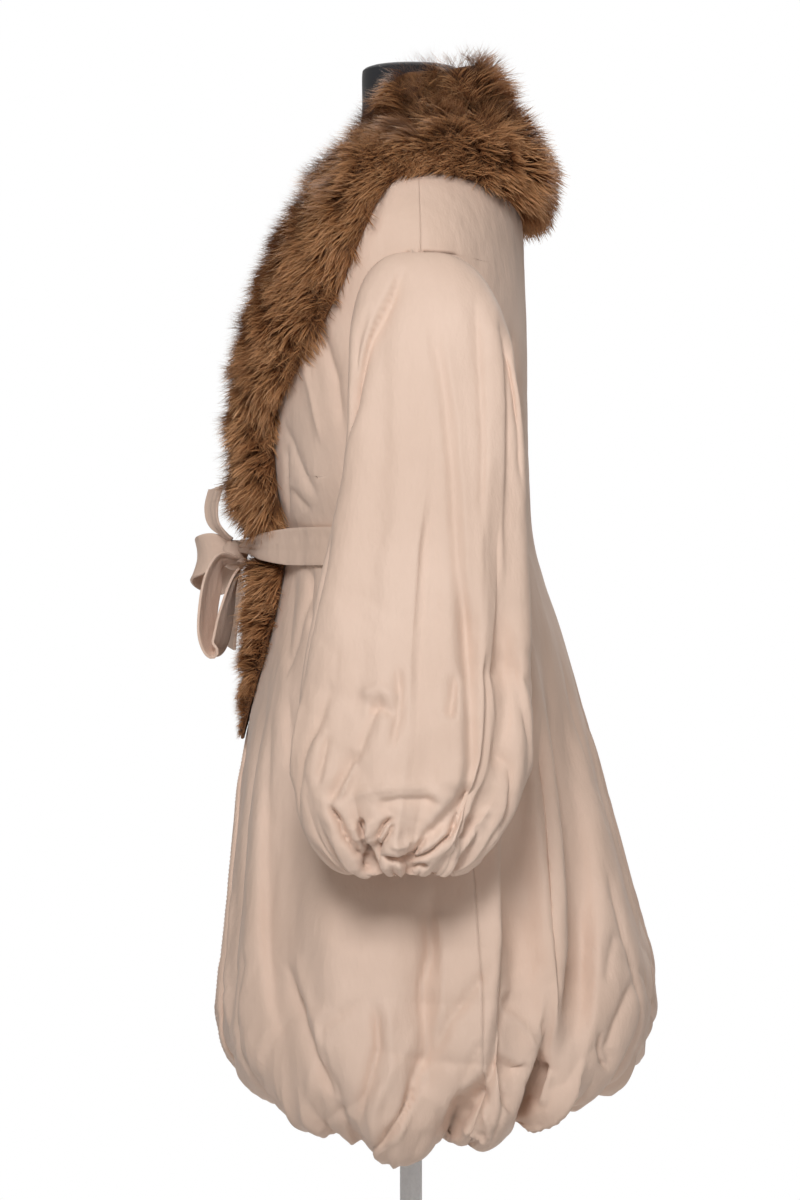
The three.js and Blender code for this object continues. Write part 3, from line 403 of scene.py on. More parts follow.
SLEEVE_CREASES = (
    # The outer side, as the photo shows it.
    *creases_of(
        Side.LEFT,
        (SHELF, 10, -12, -8, 1284, -22, 1250, -40, 1214, -58, 1162, -66, 1120),
        (SHELF, 16, -5, 13, 1262, 20, 1196, 29, 1145, 34, 1084, 39, 980, 41, 900, 43, 860),
        (RIDGE, 9, 3, 26, 1252, 34, 1190, 43, 1130, 48, 1060, 53, 960, 55, 880),
        (TROUGH, 12, -5, 58, 1266, 62, 1200, 66, 1120, 64, 1020),
        (TROUGH, 9, -4, 82, 1246, 94, 1190, 102, 1120),
        (SHELF, 18, -15, 42, 1000, 47, 906, 49, 860, 50, 821, 43, 775, 26, 742, 8, 733),
        (TROUGH, 9, -9, 38, 902, 37, 880, 34, 856),
        (SHELF, 14, -11, 74, 930, 73, 906, 69, 821, 52, 764, 34, 736),
        (TROUGH, 10, -5, 88, 960, 92, 880, 84, 820),
        (TROUGH, 7, -5, -14, 914, -12, 884, -13, 860, -20, 826),
        (TROUGH, 8, -6, -42, 866, -30, 872, -14, 862),
        (RIDGE, 9, 4, -50, 880, -30, 886, -8, 876),
        (TROUGH, 7, -6, -78, 846, -82, 822, -88, 796),
        (TROUGH, 9, -5, -26, 884, -38, 858, -46, 836, -50, 822),
        (SHELF, 10, -8, -77, 778, -68, 792, -60, 806, -52, 818, -44, 830),
        (TROUGH, 5, -15, -78, 784, -74, 776, -67, 767, -60, 751, -49, 738, -38, 730),
        (RIDGE, 4, 5, -50, 826, -56, 808, -62, 794, -66, 784),
        (RIDGE, 10, 4, -64, 782, -38, 794, -10, 797, 14, 796, 30, 786, 36, 774),
        (SHELF, 9, -5, 28, 780, 14, 788, -10, 788, -36, 784),
        (TROUGH, 4, -12, -46, 770, -45, 760, -44, 750, -42, 738),
        (TROUGH, 4, -12, -17, 771, -26, 763, -32, 752, -34, 740),
        (TROUGH, 4, -10, -16, 766, -21, 755, -27, 746, -33, 738),
        (RIDGE, 5, 5, -38, 768, -38, 750),
        (RIDGE, 5, 6, -56, 762, -50, 746),
        (TROUGH, 9, -17, -32, 748, -35, 738, -38, 726, -38, 716),
        (TROUGH, 4, -12, -30, 734, -18, 731, -6, 732, 3, 738, 9, 748, 11, 756),
        (RIDGE, 7, 6, -22, 744, -8, 744, 2, 750),
        (TROUGH, 4, -10, -14, 727, 2, 731, 18, 738, 34, 750, 44, 764),
        (SHELF, 15, -13, 46, 806, 43, 790, 30, 775, 18, 762, 4, 748),
        (SHELF, 12, -9, 34, 750, 40, 762, 43, 780, 46, 800),
        (TROUGH, 5, -9, -5, 722, 6, 725, 16, 722),
        (TROUGH, 5, -8, 62, 770, 54, 750, 42, 736),
        (RIDGE, 6, 5, 74, 778, 64, 756, 50, 738),
    ),
    # The front, the back and the side against the body.
    *creases_of(
        Side.FRONT,
        (TROUGH, 9, -6, 262, 1250, 272, 1180, 276, 1100),
        (TROUGH, 9, -6, 286, 1040, 296, 960, 304, 880, 312, 820),
        (TROUGH, 7, -6, 336, 900, 340, 850, 332, 800, 322, 760),
        (TROUGH, 6, -7, 290, 830, 298, 790, 304, 750),
        (RIDGE, 8, 5, 318, 880, 322, 830, 316, 790),
    ),
    *creases_of(
        Side.BACK,
        (TROUGH, 10, -6, 262, 1240, 276, 1160, 284, 1060),
        (SHELF, 12, -7, 300, 1060, 312, 960, 322, 870, 318, 800),
        (TROUGH, 7, -6, 284, 900, 292, 840, 300, 780),
        (TROUGH, 6, -7, 344, 840, 338, 790, 326, 750),
    ),
    *creases_of(
        Side.RIGHT,
        (TROUGH, 9, -6, -40, 1040, -30, 960, -36, 880, -26, 800),
        (TROUGH, 9, -6, 40, 1050, 34, 960, 44, 880, 28, 800),
        (TROUGH, 7, -7, 6, 900, 0, 840, -6, 780),
        (TROUGH, 6, -6, -66, 840, -52, 790, -34, 750),
    ),
)

COLLAR_STATIONS = rows_of(
    Station,
    (180, 0, 180, 3, 58, 0.57), (150, 0, 150, 2.96, 55, 0.57), (120, 0, 120, 2.82, 46, 0.56),
    (95, 0, 93, 2.74, 38, 0.54), (74, 0.1, 80, 3.1, 34, 0.5), (56, 0.45, 71, 3.8, 33, 0.5),
    (40, 1.2, 64, 4.25, 35, 0.5), (24, 2.2, 55, 4.6, 38, 0.5), (10, 3.2, 43, 4.9, 42, 0.5),
    (1, 4.1, 31, 5.15, 46, 0.5), (0.1, 4.9, 25, 5.5, 48, 0.5), (0.1, 5.7, 23.5, 6, 48, 0.5),
    (0.1, 6.3, 23, 6.4, 45, 0.5), (0.1, 6.62, 23, 6.66, 26, 0.5), (0.1, 6.76, 23, 6.78, 17, 0.5),
    (0.1, 7.16, 24, 7.16, 17, 0.5), (0.1, 7.34, 24, 7.34, 22, 0.5), (0.1, 7.75, 23, 7.75, 24, 0.5),
    (0.1, 8.2, 18, 8.2, 20, 0.5), (0.1, 8.58, 10, 8.58, 13, 0.5), (0.1, 8.85, 3, 8.85, 5, 0.5),
)
FUR_SEAT = 1.6
# How long the hairs are along the collar, as a share of their full length.
FUR_LENGTH_STATIONS = (0, 2, 4, 8, 11, 12, 13, 14, 15, 16, 17, 18, 19, 20)
FUR_LENGTH_SHARES = (1.1, 1.05, 0.85, 0.9, 1.04, 1.2, 1.3, 1.1, 1.3, 1.4, 1.05, 0.8, 0.5, 0.33)
# How far above and below the waist the belt presses on the hairs, in half widths of the belt.
PRESSED_ABOVE = 2.8
PRESSED_BELOW = 1.6
# The belt presses on the hairs only past this station.
BELT_STATION = 10
FUR_ROUNDING = 0.42
CENTRE_GAP = 0.15
FUR_SEEDS = {"left": 11, "right": 23}

SASH_WIDTH = 38.0
SASH_THICKNESS = 2.4
SASH_LEVELS = 0.5
SASH_ANGLES = (101, 96, 90, 82, 74, 66, 58, 50, 42, 34, 27, 19, 11, 5, 1.45)
SASH_LIFTS = (2, 2, 2, 2, 2, 2, 2, 2, 2, 7, 14, 21, 24, 28, 38)
SASH_SHARES = (1, 1, 1, 1, 1, 1, 1, 1, 1, 1, 0.92, 0.8, 0.64, 0.5, 0.44)

KNOT_CENTRE = (0.0, -176.0, 1012.0)
KNOT_HALF_SIZE = (9.0, 13.0, 15.0)

DROOPING_LOOP = rows_of(
    RibbonStation,
    (15, -174, 1008, 0.9, 0.2, 0.3, 0.4), (24, -190, 1006, 0.85, -0.1, 0.5, 0.72),
    (35, -198, 986, 0.88, -0.4, 0.2, 0.95), (40, -203, 956, 0.9, -0.42, 0.1, 1),
    (42, -203, 930, 0.9, -0.42, 0, 1), (41, -196, 915, 0.92, -0.38, -0.1, 1),
    (38, -188, 924, 0.92, -0.36, 0, 1), (34, -182, 950, 0.92, -0.34, 0.05, 0.95),
    (26, -176, 978, 0.9, -0.2, 0.1, 0.7), (14, -171, 994, 0.9, 0, 0.1, 0.4),
)
FORWARD_LOOP = rows_of(
    RibbonStation,
    (-11, -178, 1016, 0.1, 0.1, 1, 0.4), (-16, -196, 1019, 0.2, 0.1, 1, 0.8),
    (-24, -207, 1014, 0.3, 0.1, 1, 1), (-40, -214, 1005, 0.2, 0.2, 1, 1), (-58, -209, 996, 0, 0.25, 1, 1),
    (-66, -196, 991, -0.1, 0.3, 1, 1), (-56, -186, 993, -0.1, 0.2, 1, 0.95),
    (-36, -178, 1000, 0, 0.1, 1, 0.75), (-15, -173, 1006, 0, 0, 1, 0.4),
)
RISING_END = rows_of(
    RibbonStation,
    (1, -178, 1028.4, 0.95, 0.2, 0, 0.4), (0, -194, 1043, 0.9, 0.45, 0, 0.6),
    (-5, -198, 1060, 0.9, 0.45, 0, 0.75), (-11, -194, 1079, 0.88, 0.5, 0.05, 0.75),
)
HANGING_END = rows_of(
    RibbonStation,
    (-1, -173, 996.6, 0.95, 0.2, 0, 0.4), (-7, -173, 980, 0.95, 0.2, 0, 0.8),
    (-12, -177, 960, 0.95, 0.25, 0, 1), (-16, -182, 940, 0.93, 0.3, 0, 1),
    (-19, -184, 920, 0.93, 0.3, 0.05, 1),
)
# Each part of the bow: its name, its stations, its seed, its flat length in metres and its solid.
BOW_PARTS = (
    ("sash_loop_left", DROOPING_LOOP, 4, 0.215, "bow_loop_left"),
    ("sash_loop_right", FORWARD_LOOP, 9, 0.16, "bow_loop_right"),
    ("sash_tail_rising", RISING_END, 6, 0.057, "sash_end_rising"),
    ("sash_tail_hanging", HANGING_END, 7, 0.08, "sash_end_hanging"),
)

FORM_CLEARANCE = 2.4
CLOTH_WALL = 2.0
FORM_NECK = rows_of(
    Ring,
    (40, 40, 40, 1500, 1500, 1500), (47, 47, 47, 1497, 1497, 1497), (50, 49, 49, 1490, 1490, 1490),
    (52, 49, 51, 1455, 1456, 1458), (62, 52, 58, 1412, 1430, 1432),
)
FORM_SHOULDER_LEVELS = (1.5, 2.0, 2.4, 2.75)
FORM_TORSO = rows_of(
    Ring,
    (189, 116, 101, 1280, 1336, 1322, 2.2), (180, 122, 98, 1225, 1270, 1255, 2.2),
    (166, 124, 92, 1160, 1180, 1170, 2.2), (140, 100, 82, 1080, 1080, 1080, 2.1),
    (122, 84, 78, 1020, 1020, 1020, 2.1), (148, 98, 98, 930, 930, 930, 2.1),
    (166, 106, 112, 850, 850, 850, 2.1), (164, 104, 108, 790, 790, 790, 2.1),
    (154, 96, 98, 772, 772, 772, 2.1),
)


def smoothstep(low: float, high: float, value: Array) -> Array:
    """A smooth step from 0 at low to 1 at high."""
    share = np.clip((value - low) / (high - low), 0.0, 1.0)
    return share * share * (3.0 - 2.0 * share)


def signed_power(value: Array, power: Array) -> Array:
    """A power that keeps the sign of its base."""
    return np.sign(value) * np.abs(value) ** power


def unit(vectors: Array) -> Array:
    """The same vectors with length 1."""
    return vectors / np.maximum(np.linalg.norm(vectors, axis=-1, keepdims=True), 1e-9)


class Table:
    """Columns of rows, read at a fractional row on a smooth curve through the rows."""

    def __init__(self, rows: Sequence[object]) -> None:
        """Keeps each named column.

        Args:
            rows: Dataclass rows of one kind, in order.
        """
        self.last = len(rows) - 1
        names = [column.name for column in fields(rows[0])]
        self.columns = {name: np.array([getattr(row, name) for row in rows], float) for name in names}

    def at(self, key: str, row: Array) -> Array:
        """One column at fractional rows.

        Args:
            key: The column's name.
            row: The fractional rows.

        Returns:
            The column's values there.
        """
        values = self.columns[key]
        row = np.asarray(row, float)
        index = np.clip(np.floor(row).astype(int), 0, self.last - 1)
        along = row - index
        before = values[np.clip(index - 1, 0, self.last)]
        start = values[index]
        end = values[index + 1]
        after = values[np.clip(index + 2, 0, self.last)]
        bend = 2 * before - 5 * start + 4 * end - after + along * (3 * (start - end) + after - before)
        return start + 0.5 * along * (end - before + along * bend)

    def ring_point(self, angle: Array, row: Array) -> Array:
        """Points on a table of oval rings.

        Args:
            angle: Degrees from the front, through the wearer's left.
            row: Fractional rows of the table.

        Returns:
            Points in millimetres, with the last axis X, Y, Z.
        """
        angle, row = np.broadcast_arrays(np.asarray(angle, float), np.asarray(row, float))
        turn = np.radians(angle)
        side, ahead = np.sin(turn), np.cos(turn)
        power = 2.0 / self.at("squareness", row)
        is_front = ahead > 0
        depth = np.where(is_front, self.at("front", row), self.at("back", row))
        z_side = self.at("z_side", row)
        z_end = np.where(is_front, self.at("z_front", row), self.at("z_back", row))
        x = self.at("half_width", row) * signed_power(side, power)
        y = -depth * signed_power(ahead, power)
        z = z_side + (z_end - z_side) * np.abs(ahead) ** self.at("rise", row)
        return np.stack([x, y, z], axis=-1)


BODY = Table(BODY_RINGS)
SLEEVE = Table(SLEEVE_RINGS)
COLLAR = Table(COLLAR_STATIONS)


def gather_pull(gathers: Sequence[Gather], angle: Array, row: Array) -> Array:
    """How far the nearest gathers pull the cloth in.

    Args:
        gathers: The ring's stitches in order, from under 0 to over 360 degrees.
        angle: Degrees round the ring.
        row: Levels down the surface.

    Returns:
        The pull in millimetres.
    """
    angles, depths, reaches = (
        np.array([getattr(g, key) for g in gathers]) for key in ("angle", "depth", "reach")
    )
    turn = np.mod(angle, 360.0)
    after = np.clip(np.searchsorted(angles, turn, side="right"), 1, len(angles) - 1)
    share = (turn - angles[after - 1]) / (angles[after] - angles[after - 1])
    depth = depths[after - 1] + (depths[after] - depths[after - 1]) * share
    reach = reaches[after - 1] + (reaches[after] - reaches[after - 1]) * share
    crown = np.sin(np.pi * np.clip(share, 0, 1)) ** GATHER_SHARPNESS
    return (1 - crown) * depth * smoothstep(0.0, GATHER_RUN, row - reach)


def fold_out(folds: Sequence[Fold], angle: Array, row: Array) -> Array:
    """How far the long folds stand out, in millimetres."""
    turn = np.mod(angle, 360.0)
    total = np.zeros(np.broadcast(turn, row).shape)
    for fold in folds:
        away = (turn - fold.angle - fold.drift * (row - HIP_LEVEL)) / fold.width
        total = total + fold.depth * np.exp(-away * away) * smoothstep(fold.start, fold.full, row)
    return total


def coat_point(angle: Array, level: Array) -> Array:
    """Points on the coat's outer surface, at angles from the centre front and levels down the rings."""
    point = BODY.ring_point(angle, level)
    pull = gather_pull(HEM_GATHERS, angle, level)
    fade = 1.0 - smoothstep(*SKIRT_FOLD_FADE, np.asarray(level, float))
    out = fold_out(SKIRT_FOLDS, angle, level) * fade - pull
    flat = np.maximum(np.hypot(point[..., 0], point[..., 1]), 1e-6)
    moved = point.copy()
    moved[..., 0] += point[..., 0] / flat * out
    moved[..., 1] += point[..., 1] / flat * out
    moved[..., 2] += pull * HEM_LIFT_SHARE
    return moved


def surface_normal(
    surface: Callable[[Array, Array], Array], across: Array, down: Array, step: float
) -> Array:
    """Outward normals of a surface whose first value runs round it and whose second runs down it."""
    sideways = surface(across + step * 7, down) - surface(across - step * 7, down)
    downwards = surface(across, down + step) - surface(across, down - step)
    return unit(np.cross(downwards, sideways))


def coat_normal(angle: Array, level: Array) -> Array:
    """Outward normals of the coat's surface."""
    return surface_normal(coat_point, angle, np.clip(level, 0.03, HEM_LEVEL - 0.03), 0.02)


def seam_angle(level: Array) -> Array:
    """The angle of the shoulder seam, and below it of the side seam."""
    share = smoothstep(ARMHOLE_TOP_LEVEL, UNDERARM_LEVEL, level)
    return SHOULDER_SEAM_ANGLE + (SIDE_SEAM_ANGLE - SHOULDER_SEAM_ANGLE) * share


def armhole_share(level: Array) -> Array:
    """How far the armhole reaches from the seam's line, as a share of its widest."""
    middle = (ARMHOLE_TOP_LEVEL + UNDERARM_LEVEL) / 2
    away = (level - middle) / (UNDERARM_LEVEL - middle)
    return np.maximum(0.0, 1.0 - away * away) ** (ARMHOLE_FULLNESS / 2)


def armhole_point(turn: Array, lift: Array) -> Array:
    """Points on the armhole's edge, turning in degrees from its top through the back."""
    middle = (ARMHOLE_TOP_LEVEL + UNDERARM_LEVEL) / 2
    level = middle - np.cos(np.radians(turn)) * (UNDERARM_LEVEL - middle) * ARMHOLE_INSET
    reach = signed_power(np.sin(np.radians(turn)), ARMHOLE_FULLNESS) * ARMHOLE_INSET
    angle = seam_angle(level) + reach * np.where(reach > 0, ARMHOLE_BACK_ANGLE, ARMHOLE_FRONT_ANGLE)
    return coat_point(angle, level) + coat_normal(angle, level) * lift[..., None]


def sleeve_point(turn: Array, level: Array) -> Array:
    """Points on the left sleeve's outer surface, turning from its outer side through the back."""
    turn, level = np.broadcast_arrays(np.asarray(turn, float), np.asarray(level, float))
    over, back = np.cos(np.radians(turn)), np.sin(np.radians(turn))
    power = 2.0 / SLEEVE.at("squareness", level)
    x_outer, x_inner = SLEEVE.at("x_outer", level), SLEEVE.at("x_inner", level)
    z_outer, z_inner = SLEEVE.at("z_outer", level), SLEEVE.at("z_inner", level)
    y_front, y_back = SLEEVE.at("y_front", level), SLEEVE.at("y_back", level)
    middle = np.stack([(x_outer + x_inner) / 2, (y_front + y_back) / 2, (z_outer + z_inner) / 2], -1)
    outward = signed_power(over, power)
    spoke = np.stack(
        [
            (x_outer - x_inner) / 2 * outward,
            (y_back - y_front) / 2 * signed_power(back, power),
            (z_outer - z_inner) / 2 * outward,
        ],
        -1,
    )
    pull = gather_pull(CUFF_GATHERS, turn, level) * (1 - CUFF_EASE * smoothstep(*CUFF_EASE_LEVELS, level))
    out = fold_out(SLEEVE_FOLDS, turn, level) * (1 - smoothstep(*SLEEVE_FOLD_FADE, level)) - pull
    length = np.maximum(np.linalg.norm(spoke, axis=-1), 1.0)
    point = middle + spoke * (1 + out / length)[..., None]
    point[..., 2] += pull * HEM_LIFT_SHARE
    blend = smoothstep(*SLEEVE_JOIN, level)[..., None]
    start = armhole_point(turn, -1.0 + SEAM_PUFF * np.minimum(level, SLEEVE_JOIN[1]))
    return start * (1 - blend) + point * blend


def grid_normals(points: Array, closed: bool) -> Array:
    """Outward normals at the points of a grid whose rows run down and whose columns run round."""
    if closed:
        around = np.roll(points, -1, axis=1) - np.roll(points, 1, axis=1)
    else:
        around = np.gradient(points, axis=1)
    down = np.gradient(points, axis=0)
    return unit(np.cross(down, around))


def path_distance(path: Sequence[tuple[float, float]], across: Array, height: Array) -> tuple[Array, Array]:
    """The signed distance from a path, and the share along it of the nearest place.

    Args:
        path: Places as (across, height).
        across: The points' places across the side.
        height: The points' heights.

    Returns:
        Distances that are positive where across grows, and shares from 0 to 1.
    """
    corners = np.array(path, float)
    lengths = np.linalg.norm(np.diff(corners, axis=0), axis=1)
    starts = np.concatenate([[0.0], np.cumsum(lengths)])
    nearest = np.full(across.shape, 1e9)
    signed = np.zeros(across.shape)
    share = np.zeros(across.shape)
    for k, length in enumerate(lengths):
        (ax, az), (bx, bz) = corners[k], corners[k + 1]
        ux, uz = (bx - ax) / length, (bz - az) / length
        along = np.clip((across - ax) * ux + (height - az) * uz, 0.0, length)
        dx, dz = across - ax - along * ux, height - az - along * uz
        distance = np.hypot(dx, dz)
        closer = distance < nearest
        nearest = np.where(closer, distance, nearest)
        signed = np.where(closer, np.copysign(distance, dz * ux - dx * uz), signed)
        share = np.where(closer, (starts[k] + along) / starts[-1], share)
    return signed, share


def crease_relief(
    creases: Sequence[Crease], points: Array, normals: Array, shift: tuple[float, float]
) -> Array:
    """How far the creases move the cloth along its normals, in millimetres.

    Args:
        creases: The creases of this surface.
        points: The surface's points.
        normals: Its outward normals.
        shift: How far the creases are moved across and up, so that two surfaces can share a table.

    Returns:
        One height for each point.
    """
    relief = np.zeros(points.shape[:-1])
    for crease in creases:
        direction = np.array(crease.side.value)
        facing = smoothstep(0.05, 0.45, normals @ direction)
        across = points[..., 1] if abs(direction[0]) > 0.5 else points[..., 0]
        height = points[..., 2]
        distance, share = path_distance(crease.path, across - shift[0], height - shift[1])
        taper = smoothstep(0.0, CREASE_TAPER, share) * smoothstep(0.0, CREASE_TAPER, 1.0 - share)
        if crease.kind is CreaseKind.SHELF:
            step = 1.0 / (1.0 + np.exp(-np.clip(distance / (SHELF_ROUNDING * crease.width), -40, 40)))
            section = step * np.exp(-np.maximum(distance, 0.0) / crease.width)
        else:
            rounding = TROUGH_ROUNDING * crease.width
            section = np.exp((rounding - np.sqrt(distance**2 + rounding**2)) / (0.6 * crease.width))
            section -= BANK_HEIGHT * np.exp(-((distance / (BANK_WIDTH * crease.width)) ** 2))
        relief += CREASE_STRENGTH * crease.depth * section * taper * facing
    return relief


def random_way(random: np.random.Generator, rise: float = 1.0) -> Array:
    """A random unit vector, which is flatter where rise is small."""
    return unit(np.array([random.normal(), random.normal(), random.normal() * rise]))


def random_wave(random: np.random.Generator, along: Array, shortest: float, longest: float) -> Array:
    """A sine along a distance, with a random wavelength between two and a random start."""
    return np.sin(along * (2 * math.pi / random.uniform(shortest, longest)) + random.uniform(0, 6.28))


def soft_ripple(points: Array, seed: int, height: float) -> Array:
    """A low uneven ripple over a surface, longer down the cloth than across it.

    Args:
        points: The surface's points.
        seed: Which ripple it is.
        height: Its greatest height in millimetres.

    Returns:
        One height for each point.
    """
    random = np.random.default_rng(seed)
    total = np.zeros(points.shape[:-1])
    count = 26
    for _ in range(count):
        wavelength = random.uniform(34, 150)
        direction = random_way(random, 0.35)
        phase = random.uniform(0, 2 * math.pi)
        total += np.sin(points @ direction * (2 * math.pi / wavelength) + phase) * (wavelength / 150)
    return height * total / math.sqrt(count)


def crumple(points: Array, seed: int, height: float) -> Array:
    """Sharp wrinkles scattered over a surface.

    Args:
        points: The surface's points.
        seed: Which scatter it is.
        height: The wrinkles' height in millimetres.

    Returns:
        One height for each point.
    """
    random = np.random.default_rng(seed)
    total = np.zeros(points.shape[:-1])
    for _ in range(16):
        wavelength = random.uniform(40, 110)
        direction = random_way(random, 0.6)
        sway = 1.1 * random_wave(random, points @ random_way(random), 150, 320)
        phase = points @ direction * (math.pi / wavelength) + sway + random.uniform(0, 6.28)
        ridge = (1.0 - np.abs(np.sin(phase))) ** 2.5
        where = random_wave(random, points @ random_way(random), 160, 360)
        other = random_wave(random, points[..., 2], 140, 300)
        mask = smoothstep(-0.1, 0.7, where) * smoothstep(-0.2, 0.7, other)
        total += ridge * mask * random.choice([-1.0, 1.0]) * wavelength / 80
    return height * total


@dataclass(frozen=True)
class PleatRun:
    """Sharp little pleats that run into a gathered edge, each range as its least and its most."""

    seed: int
    count: int
    start: tuple[float, float]
    width: tuple[float, float]
    depth: tuple[float, float]
    sway: float

    def relief(self, angle: Array, level: Array) -> Array:
        """How far the pleats move the cloth along its normals, in millimetres.

        Args:
            angle: Degrees round the surface.
            level: Levels down it.

        Returns:
            One height for each point.
        """
        random = np.random.default_rng(self.seed)
        total = np.zeros(np.broadcast(angle, level).shape)
        for place in range(self.count):
            centre = (place + random.uniform(-0.4, 0.4)) * 360.0 / self.count
            width = random.uniform(*self.width)
            depth = random.uniform(*self.depth) * random.choice((-1.0, -1.0, 1.0))
            start = random.uniform(*self.start)
            sway = random.uniform(-self.sway, self.sway)
            away = np.mod(angle - centre - sway * (level - start) + 180.0, 360.0) - 180.0
            section = np.exp(-np.sqrt((away / width) ** 2 + 0.03))
            total += depth * section * smoothstep(start, start + 1.5, level)
        return total


HEM_PLEATS = PleatRun(seed=8, count=96, start=(10.9, 12.9), width=(0.9, 2.1), depth=(2.5, 7.0), sway=3.0)
CUFF_PLEATS = PleatRun(seed=3, count=44, start=(8.4, 10.4), width=(2.0, 4.2), depth=(1.5, 5.0), sway=4.0)


def link_object(name: str, data: bpy.types.ID) -> Object:
    """A new object at the origin for a mesh, a light or a camera."""
    made = bpy.data.objects.new(name, data)
    bpy.context.scene.collection.objects.link(made)
    return made


def grid_mesh(name: str, points: Array, closed: bool, capped: bool = False) -> Mesh:
    """A smooth mesh of quads over a grid of points, with its UVs in metres over the cloth.

    Args:
        name: The mesh's name.
        points: Rows down the surface and columns round it, in millimetres.
        closed: Whether each row closes on itself.
        capped: Whether the first row and the last are each closed with a face.

    Returns:
        The mesh, in metres.
    """
    rows, columns = points.shape[:2]
    spans = columns if closed else columns - 1
    i, j = np.meshgrid(np.arange(rows - 1), np.arange(spans), indexing="ij")
    ahead = (j + 1) % columns
    here, below = i * columns, (i + 1) * columns
    faces = np.stack([here + j, below + j, below + ahead, here + ahead], -1).reshape(-1, 4).tolist()
    if capped:
        faces.append(list(range(columns)))
        faces.append(list(reversed(range((rows - 1) * columns, rows * columns))))
    mesh = bpy.data.meshes.new(name)
    mesh.from_pydata((points.reshape(-1, 3) * MM).tolist(), [], faces)
    step_across = np.linalg.norm(np.roll(points, -1, axis=1) - points, axis=-1)
    step_down = np.linalg.norm(np.diff(points, axis=0), axis=-1)
    u = np.concatenate([np.zeros((rows, 1)), np.cumsum(step_across, axis=1)], axis=1) * MM
    v = np.concatenate([np.zeros((1, columns)), np.cumsum(step_down, axis=0)]) * MM
    v = np.concatenate([v, v[:, :1]], axis=1)
    corner_u = np.stack([u[i, j], u[i + 1, j], u[i + 1, j + 1], u[i, j + 1]], -1)
    corner_v = np.stack([v[i, j], v[i + 1, j], v[i + 1, j + 1], v[i, j + 1]], -1)
    uvs = np.zeros(2 * len(mesh.loops))
    uvs[: 2 * corner_u.size] = np.stack([corner_u, corner_v], -1).reshape(-1)
    mesh.uv_layers.new(name="cloth").data.foreach_set("uv", uvs)
    mesh.polygons.foreach_set("use_smooth", [True] * len(mesh.polygons))
    mesh.update()
    return mesh


def evaluated_copy(source: Object, name: str) -> Object:
    """A plain object with a source's modifiers applied; the source is removed.

    Args:
        source: The object with modifiers.
        name: The new object's name.

    Returns:
        The new object.
    """
    bpy.context.view_layer.update()
    graph = bpy.context.evaluated_depsgraph_get()
    mesh = bpy.data.meshes.new_from_object(
        source.evaluated_get(graph), preserve_all_data_layers=True, depsgraph=graph
    )
    mesh.name = name
    bpy.data.objects.remove(source)
    return link_object(name, mesh)


def mirror_object(made: Object) -> None:
    """Turns an object's mesh over to the wearer's other side, with its faces still outward."""
    mesh = made.data
    coordinates = np.empty(len(mesh.vertices) * 3, np.float32)
    mesh.vertices.foreach_get("co", coordinates)
    coordinates = coordinates.reshape(-1, 3)
    coordinates[:, 0] *= -1
    mesh.vertices.foreach_set("co", coordinates.reshape(-1))
    mesh.flip_normals()
    mesh.update()


def store_on_points(mesh: Mesh, name: str, kind: str, values: Array) -> None:
    """Stores numbers or vectors on a mesh's points."""
    layer = mesh.attributes.new(name, kind, "POINT")
    layer.data.foreach_set("vector" if kind == "FLOAT_VECTOR" else "value", values.reshape(-1))


